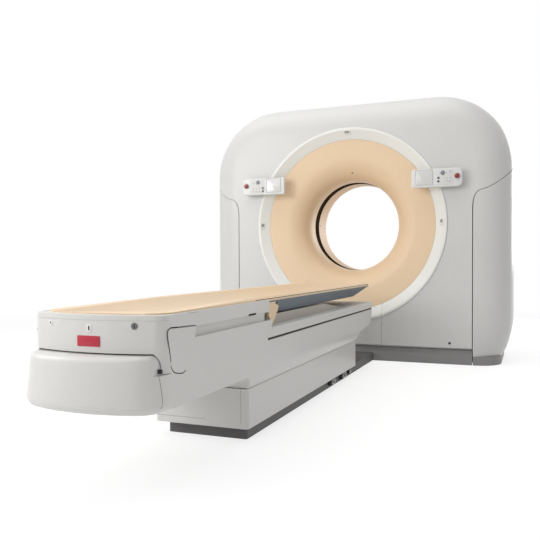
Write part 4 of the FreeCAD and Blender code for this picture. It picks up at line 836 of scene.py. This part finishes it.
class SCANNER_OT_couch(bpy.types.Operator):
    """Adds the couch's pod, seams and slot liners of painted shade, recess lining painted lighter,
    sockets and foot end fittings
    """

    bl_idname = "scanner.couch"
    bl_label = "Fit out the couch"

    def execute(self, context):
        tone = context.scene.scanner_covers
        black = dark_trim("couch_black")
        # dark brown of painted shade, for the slot and the leg seams
        brown = dark_trim("slot_painted_shade", (0.03, 0.022, 0.018), 0.75)
        matte = dark_trim("latch_black", (0.012, 0.012, 0.012), 0.85)
        pale = moulded("fitting_moulding", shade(tone.couch, 1.15), 0.35)
        shadow = moulded("seam_shadow", shade(tone.couch, 0.45), 0.5)
        # painted light: lining and deck are a lighter copy of the couch colour, so the shaded
        # recess reads bright
        lining = moulded("recess_painted_light", shade(tone.couch, 1.1), 0.5)
        fabric = moulded("curtain_fabric", (0.5, 0.47, 0.42), 0.7)
        liners, gap_shades, sockets, brackets, vents = (Piece() for _ in range(5))
        latches, seams, joints, recess, curtains, lines = (Piece() for _ in range(6))
        for side, _ in SIDES:
            # strips in the slot's shallow groove, painted as the slot's shade
            liners.plate(rounded(1.958, 0.0096, 0.002, 3), 0.0, 0.0008, 0.0003, 2,
                         side_seat(0.2472 * side, -1.6, 0.415, side))
            # black blocks of painted shade in the gap between the foot end's legs and the pod
            gap_shades.plate(rounded(0.022, 0.013, 0.003), -0.004, 0.004, 0.0014, 3,
                          front_seat(0.238 * side, -3.44, 0.412))
            for y, long, tall in SOCKETS:
                seat = side_seat(0.188 * side, y, SOCKET_Z, side)
                sockets.plate(rounded(long, tall, 0.004), -0.002, 0.022, 0.003, 3, seat)
                brackets.frame(rounded(long * 0.62, tall * 0.66, 0.004), 0.004, 0.02, 0.026,
                               0.001, seat)
            count, first, pitch = RAIL_VENTS
            for index in range(count):
                vents.turned([(0.0018, -0.0004), (0.0018, 0.0002), (0.0, 0.0003)], 12,
                             side_seat(END_SIDE * side, first + pitch * index, 0.579, side))
            latches.plate(rounded(0.072, 0.0075, 0.002), -0.004, 0.0016, 0.0008, 3,
                          side_seat(END_SIDE * side, -2.7515, 0.5345, side))
            # dark ribbons of painted shade along the seams between leg and body
            for reach, path in ((END_SIDE, LEG_SEAM_FRONT), (BODY_SIDE, LEG_SEAM_BACK)):
                seams.ribbon([(reach * side, y, z) for y, z in path], (side, 0, 0), 0.0034,
                             0.0004)
            self.draw_pod_seam(joints, side)
            # recess panels and deck plates take the lighter lining: painted light
            for tall, top, z in ((0.064, 0.006, 0.4975), (0.005, 0.0086, 0.4925)):
                recess.plate(rounded(0.65, tall, 0.001, 2), 0.0, top,
                             seat=side_seat(RECESS_SIDE * side, -2.899, z, side))
            recess.plate(rounded(0.056, 0.235, 0.001, 2), *DECK,
                         seat=level_seat(0.2065 * side, -2.413))
            curtains.plate(CURTAIN, 0.0, 0.002, seat=side_seat(0.2035 * side, 0, 0, 1))
        recess.plate(rounded(0.469, 1.665, 0.001, 2), *DECK, seat=level_seat(0, -1.46))
        base_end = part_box("couch_base_cover")[0][1]
        for wide, tall, x, z in ((0.0016, 0.144, 0.188, 0.153), (0.242, 0.0016, -0.098, 0.087)):
            lines.plate(rounded(wide, tall, 0.0005, 2), 0.0, 0.0003,
                        seat=front_seat(x, base_end, z))
        for piece, name, body, slot, paint in (
                (curtains, "recess_curtains", "couch", "couch_white", fabric),
                (recess, "recess_panels", "couch", "couch_white", lining),
                (seams, "leg_seam_shades", "couch", "plinth_grey", brown),
                (joints, "pod_seams", "couch", "shroud_grey", shadow),
                (liners, "slot_shade_strips", "couch", "frame_steel", brown),
                (gap_shades, "foot_gap_shades", "couch", "plinth_grey", black),
                (sockets, "base_sockets", "base", "plinth_grey", black),
                (brackets, "socket_brackets", "base", "couch_white", pale),
                (vents, "rail_vents", "table", "plinth_grey", black),
                (latches, "rail_latches", "table", "plinth_grey", matte),
                (lines, "base_seams", "base", "shroud_grey", shadow)):
            piece.finish(name, body, slot, paint)
        self.build_pod(tone.couch)
        self.dress_foot_end(black, pale)
        return {"FINISHED"}

    def draw_pod_seam(self, joints, side):
        """Lays a strip of painted seam shadow round the pod's corner, between its front and its
        cheek.
        """
        middle, start, corner = POD_CORNER
        path, outs = [], []
        for angle, z in POD_SEAM:
            bend = corner - pod_inset(z)
            path.append(((middle + bend * cos(angle)) * side,
                         start - bend * sin(angle), z))
            outs.append((side * cos(angle), -sin(angle), 0))
        joints.ribbon(path, outs, 0.0022, 0.0003)

    def build_pod(self, colour):
        """The pod under the foot end, drawn in over its upper edge."""
        pod = Piece(Seat((0, POD_BACK, 0), (-1, 0, 0), (0, -1, 0)))
        pod.join([pod.loop(pod_outline(inset, limit), z) for z, inset, limit in POD_LEVELS])
        pod.finish("pod_shell", "couch", "couch_white", moulded("pod_moulding", colour, 0.33),
                   "foot_pod")

    def dress_foot_end(self, black, pale):
        """Mark, button, lock and plate on the bowed face of the foot end."""
        grey = moulded("lock_metal", (0.2, 0.2, 0.21), 0.4)
        enamel = moulded("plate_enamel", (0.5, 0.022, 0.05), 0.3, coat=0.2)
        mark, button, lock = bow_seat(-0.157, 0.552), bow_seat(0.007, 0.541), bow_seat(0.162, 0.55)
        low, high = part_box("red_plate")
        plate = bow_seat((low[0] + high[0]) / 2, (low[2] + high[2]) / 2)
        outline = rounded(high[0] - low[0], high[2] - low[2], 0.003)
        mark_disc = stud(0.0105, -0.0006, 0.0006, 0.0011, 0.0014, 0.0016)
        lock_core = stud(0.0076, 0.0008, 0.0014, 0.0006, 0.0019)
        for piece, name, slot, paint, *replaced in (
                (Piece(mark).turned(mark_disc, 28), "foot_mark_disc", "couch_white", pale),
                (Piece(mark).plate(arrow(0.0052, 90), 0.0012, 0.0019),
                 "foot_mark_arrow", "plinth_grey", black),
                (Piece(button).plate(rounded(0.021, 0.026, 0.004), -0.0006, 0.0014, 0.0006),
                 "foot_button", "couch_white", pale),
                (Piece(button).plate(rounded(0.0048, 0.014, 0.0018), 0.001, 0.0019, 0.0003, 2),
                 "foot_button_slot", "plinth_grey", black),
                (Piece(lock).turned(LOCK_RIM, 36), "foot_lock_rim", "plinth_grey", grey),
                (Piece(lock).turned(lock_core, 32), "foot_lock_core", "plinth_grey", grey),
                (Piece(lock).plate(rounded(0.0034, 0.0115, 0.001, 3), 0.0016, 0.0023),
                 "foot_lock_slot", "plinth_grey", black),
                (Piece(plate).plate(outline, -0.002, 0.0012, 0.0005, 2),
                 "foot_plate", "plate_red", enamel, "red_plate")):
            piece.finish(name, "couch", slot, paint, *replaced)


# ---- gantry fittings
FRONT_LOCK = ((0.0095, -0.0006), (0.0095, 0.001), (0.0085, 0.0018), (0.0062, 0.0018),
              (0.0055, 0.0006), (0.0, 0.0006))


class SCANNER_OT_fittings(bpy.types.Operator):
    """Adds the gantry's front lock and the screw by the left panel"""

    bl_idname = "scanner.fittings"
    bl_label = "Fit out the gantry"

    def execute(self, context):
        black = dark_trim("lock_black", (0.03, 0.03, 0.031), 0.6)
        for name, x, z, profile, steps in (
                ("front_lock", 0.753, 0.154, FRONT_LOCK, 28),
                ("panel_screw", -0.503, 1.295, stud(0.0034, -0.0004, 0.0008, 0.0006, 0.0012), 20)):
            Piece(front_seat(x, COVER_FACE, z)).turned(profile, steps).finish(
                name, "gantry", "plinth_grey", black)
        return {"FINISHED"}


# ---- stage
# name, share of the key light's power, size, place and the point it looks at
LAMPS = (("key_softbox", 0.72, (1.8, 2.2), (-3.0, -4.7, 2.1), (-0.4, -1.8, 0.9)),
         ("front_softbox", 0.5, (3.0, 3.0), (-2.2, -7.2, 3.6), (0, -0.8, 1.0)),
         ("overhead_softbox", 1.3, (5.0, 6.0), (-0.6, -1.6, 5.6), (0, -1.4, 0)),
         ("back_softbox", 0.5, (2.0, 2.0), (1.7, 3.4, 1.7), (-0.2, 0.2, 1.0)))
ROOM_LIGHT = (0.5, 1.0)          # strength of the room on the object and as it is seen
FLOOR_HALF = 40.0
FLOOR_MIDDLE = -1.5              # y round which the floor fades to white
FLOOR_FADE = (3.4, 7.5)          # radii over which it does
FLOOR_GLOW = (0.72, 1.0)         # its own light near the object and far off
CAMERA_PLACE = (1.2914759, -5.1504131, 0.7470133)
CAMERA_TURN = (0.3814173, -0.0199932, -0.0037434)         # yaw, pitch and roll
FRAME_PIXELS = 540.0
FOCAL_PIXELS, RISE_PIXELS = 649.1207, 4.7067
SENSOR = 36.0                    # width of the camera's sensor, millimetres


class SCANNER_OT_stage(bpy.types.Operator):
    """Sets the floor, the lamps and the camera"""

    bl_idname = "scanner.stage"
    bl_label = "Set the stage"

    def execute(self, context):
        settings = context.scene.scanner_stage
        self.lay_floor(settings.floor)
        self.light_world(context.scene)
        for name, share, size, place, target in LAMPS:
            data = bpy.data.lights.new(name, "AREA")
            data.shape = "RECTANGLE"
            data.size, data.size_y = size
            data.energy = settings.key_power * share
            aim = (Vector(target) - Vector(place)).to_track_quat("-Z", "Y")
            lamp = put(name, data)
            lamp.matrix_world = Matrix.Translation(place) @ aim.to_matrix().to_4x4()
        self.set_camera(context.scene)
        context.scene.view_settings.view_transform = "Standard"
        return {"FINISHED"}

    def set_camera(self, scene):
        """Stands the camera where the photograph was taken from."""
        data = bpy.data.cameras.new("camera")
        camera = put("camera", data)
        yaw, pitch, roll = CAMERA_TURN
        ahead = Vector((-sin(yaw) * cos(pitch), cos(yaw) * cos(pitch),
                        sin(pitch)))
        right = Vector((cos(yaw), sin(yaw), 0))
        up = right.cross(ahead)
        across = right * cos(roll) + up * sin(roll)
        above = up * cos(roll) - right * sin(roll)
        turn = Matrix((across, above, -ahead)).transposed().to_4x4()
        camera.matrix_world = Matrix.Translation(CAMERA_PLACE) @ turn
        data.sensor_width = SENSOR
        data.lens = FOCAL_PIXELS * SENSOR / FRAME_PIXELS
        data.shift_y = RISE_PIXELS / FRAME_PIXELS
        data.clip_end = 200.0
        scene.camera = camera

    def lay_floor(self, colour):
        """Pale floor; seen directly it is lit to white and keeps the object's soft shadow."""
        mesh = bpy.data.meshes.new("studio_floor")
        mesh.from_pydata([(FLOOR_HALF * x, FLOOR_HALF * y, 0)
                          for x, y in ((-1, -1), (1, -1), (1, 1), (-1, 1))], [], [(0, 1, 2, 3)])
        put("studio_floor", mesh)
        paint = Paint("studio_floor")
        fine = paint.noise(3.0, 3.0, 0.5)
        paint.set(Base_Color=paint.mix(fine, shade(colour, 0.985), colour),
                  Roughness=0.55 + fine * 0.05)
        across, along = paint.axis("x"), paint.axis("y") - FLOOR_MIDDLE
        far = (across * across + along * along).root().ramp(*FLOOR_FADE)
        soft = paint.add("BsdfDiffuse", {"Color": (0.34, 0.34, 0.34)})
        glow, white = (paint.add("Emission", {"Color": (1, 1, 1), "Strength": strength})
                       for strength in FLOOR_GLOW)
        near = paint.add("AddShader", {0: soft, 1: glow})
        shown = paint.add("MixShader", {0: far, 1: near, 2: white})
        mixed = paint.add("MixShader", {0: paint.seen(), 1: Value(paint, paint.shader.outputs[0]),
                                        2: shown})
        paint.feed(paint.tree.nodes["Material Output"].inputs["Surface"], mixed)
        mesh.materials.append(paint.material)

    def light_world(self, scene):
        """Even daylight-white surroundings, shown and mirrored as plain white."""
        scene.world = bpy.data.worlds.new("studio")
        scene.world.use_nodes = True
        room = Nodes(scene.world.node_tree)
        light, white = (room.add("Background", {"Color": (1, 1, 1), "Strength": strength})
                        for strength in ROOM_LIGHT)
        shown = room.add("MixShader", {0: room.seen(), 1: light, 2: white})
        room.feed(room.tree.nodes["World Output"].inputs["Surface"], shown)


class SCANNER_PT_panel(bpy.types.Panel):
    """Lists the scanner's settings and the operators that build it"""

    bl_label = "CT scanner"
    bl_idname = "SCANNER_PT_panel"
    bl_space_type = "VIEW_3D"
    bl_region_type = "UI"
    bl_category = "CT scanner"

    def draw(self, context):
        column = self.layout.column()
        for group in GROUPS:
            settings = getattr(context.scene, group)
            for key in settings.bl_rna.properties.keys():
                if key not in ("rna_type", "name"):
                    column.prop(settings, key)
        for operator in OPERATORS:
            column.operator(operator.bl_idname)


GROUPS = {"scanner_covers": CoverSettings, "scanner_panels": PanelSettings,
          "scanner_stage": StageSettings}
OPERATORS = (SCANNER_OT_covers, SCANNER_OT_bore, SCANNER_OT_panels, SCANNER_OT_couch,
             SCANNER_OT_fittings, SCANNER_OT_stage)
CLASSES = (*GROUPS.values(), *OPERATORS, SCANNER_PT_panel)


def register():
    for kind in CLASSES:
        bpy.utils.register_class(kind)
    for group, kind in GROUPS.items():
        setattr(bpy.types.Scene, group, bpy.props.PointerProperty(type=kind))


def unregister():
    for group in GROUPS:
        delattr(bpy.types.Scene, group)
    for kind in reversed(CLASSES):
        bpy.utils.unregister_class(kind)


def main():
    register()
    for operator in OPERATORS:
        family, name = operator.bl_idname.split(".")
        getattr(getattr(bpy.ops, family), name)()


if __name__ == "__main__":
    main()
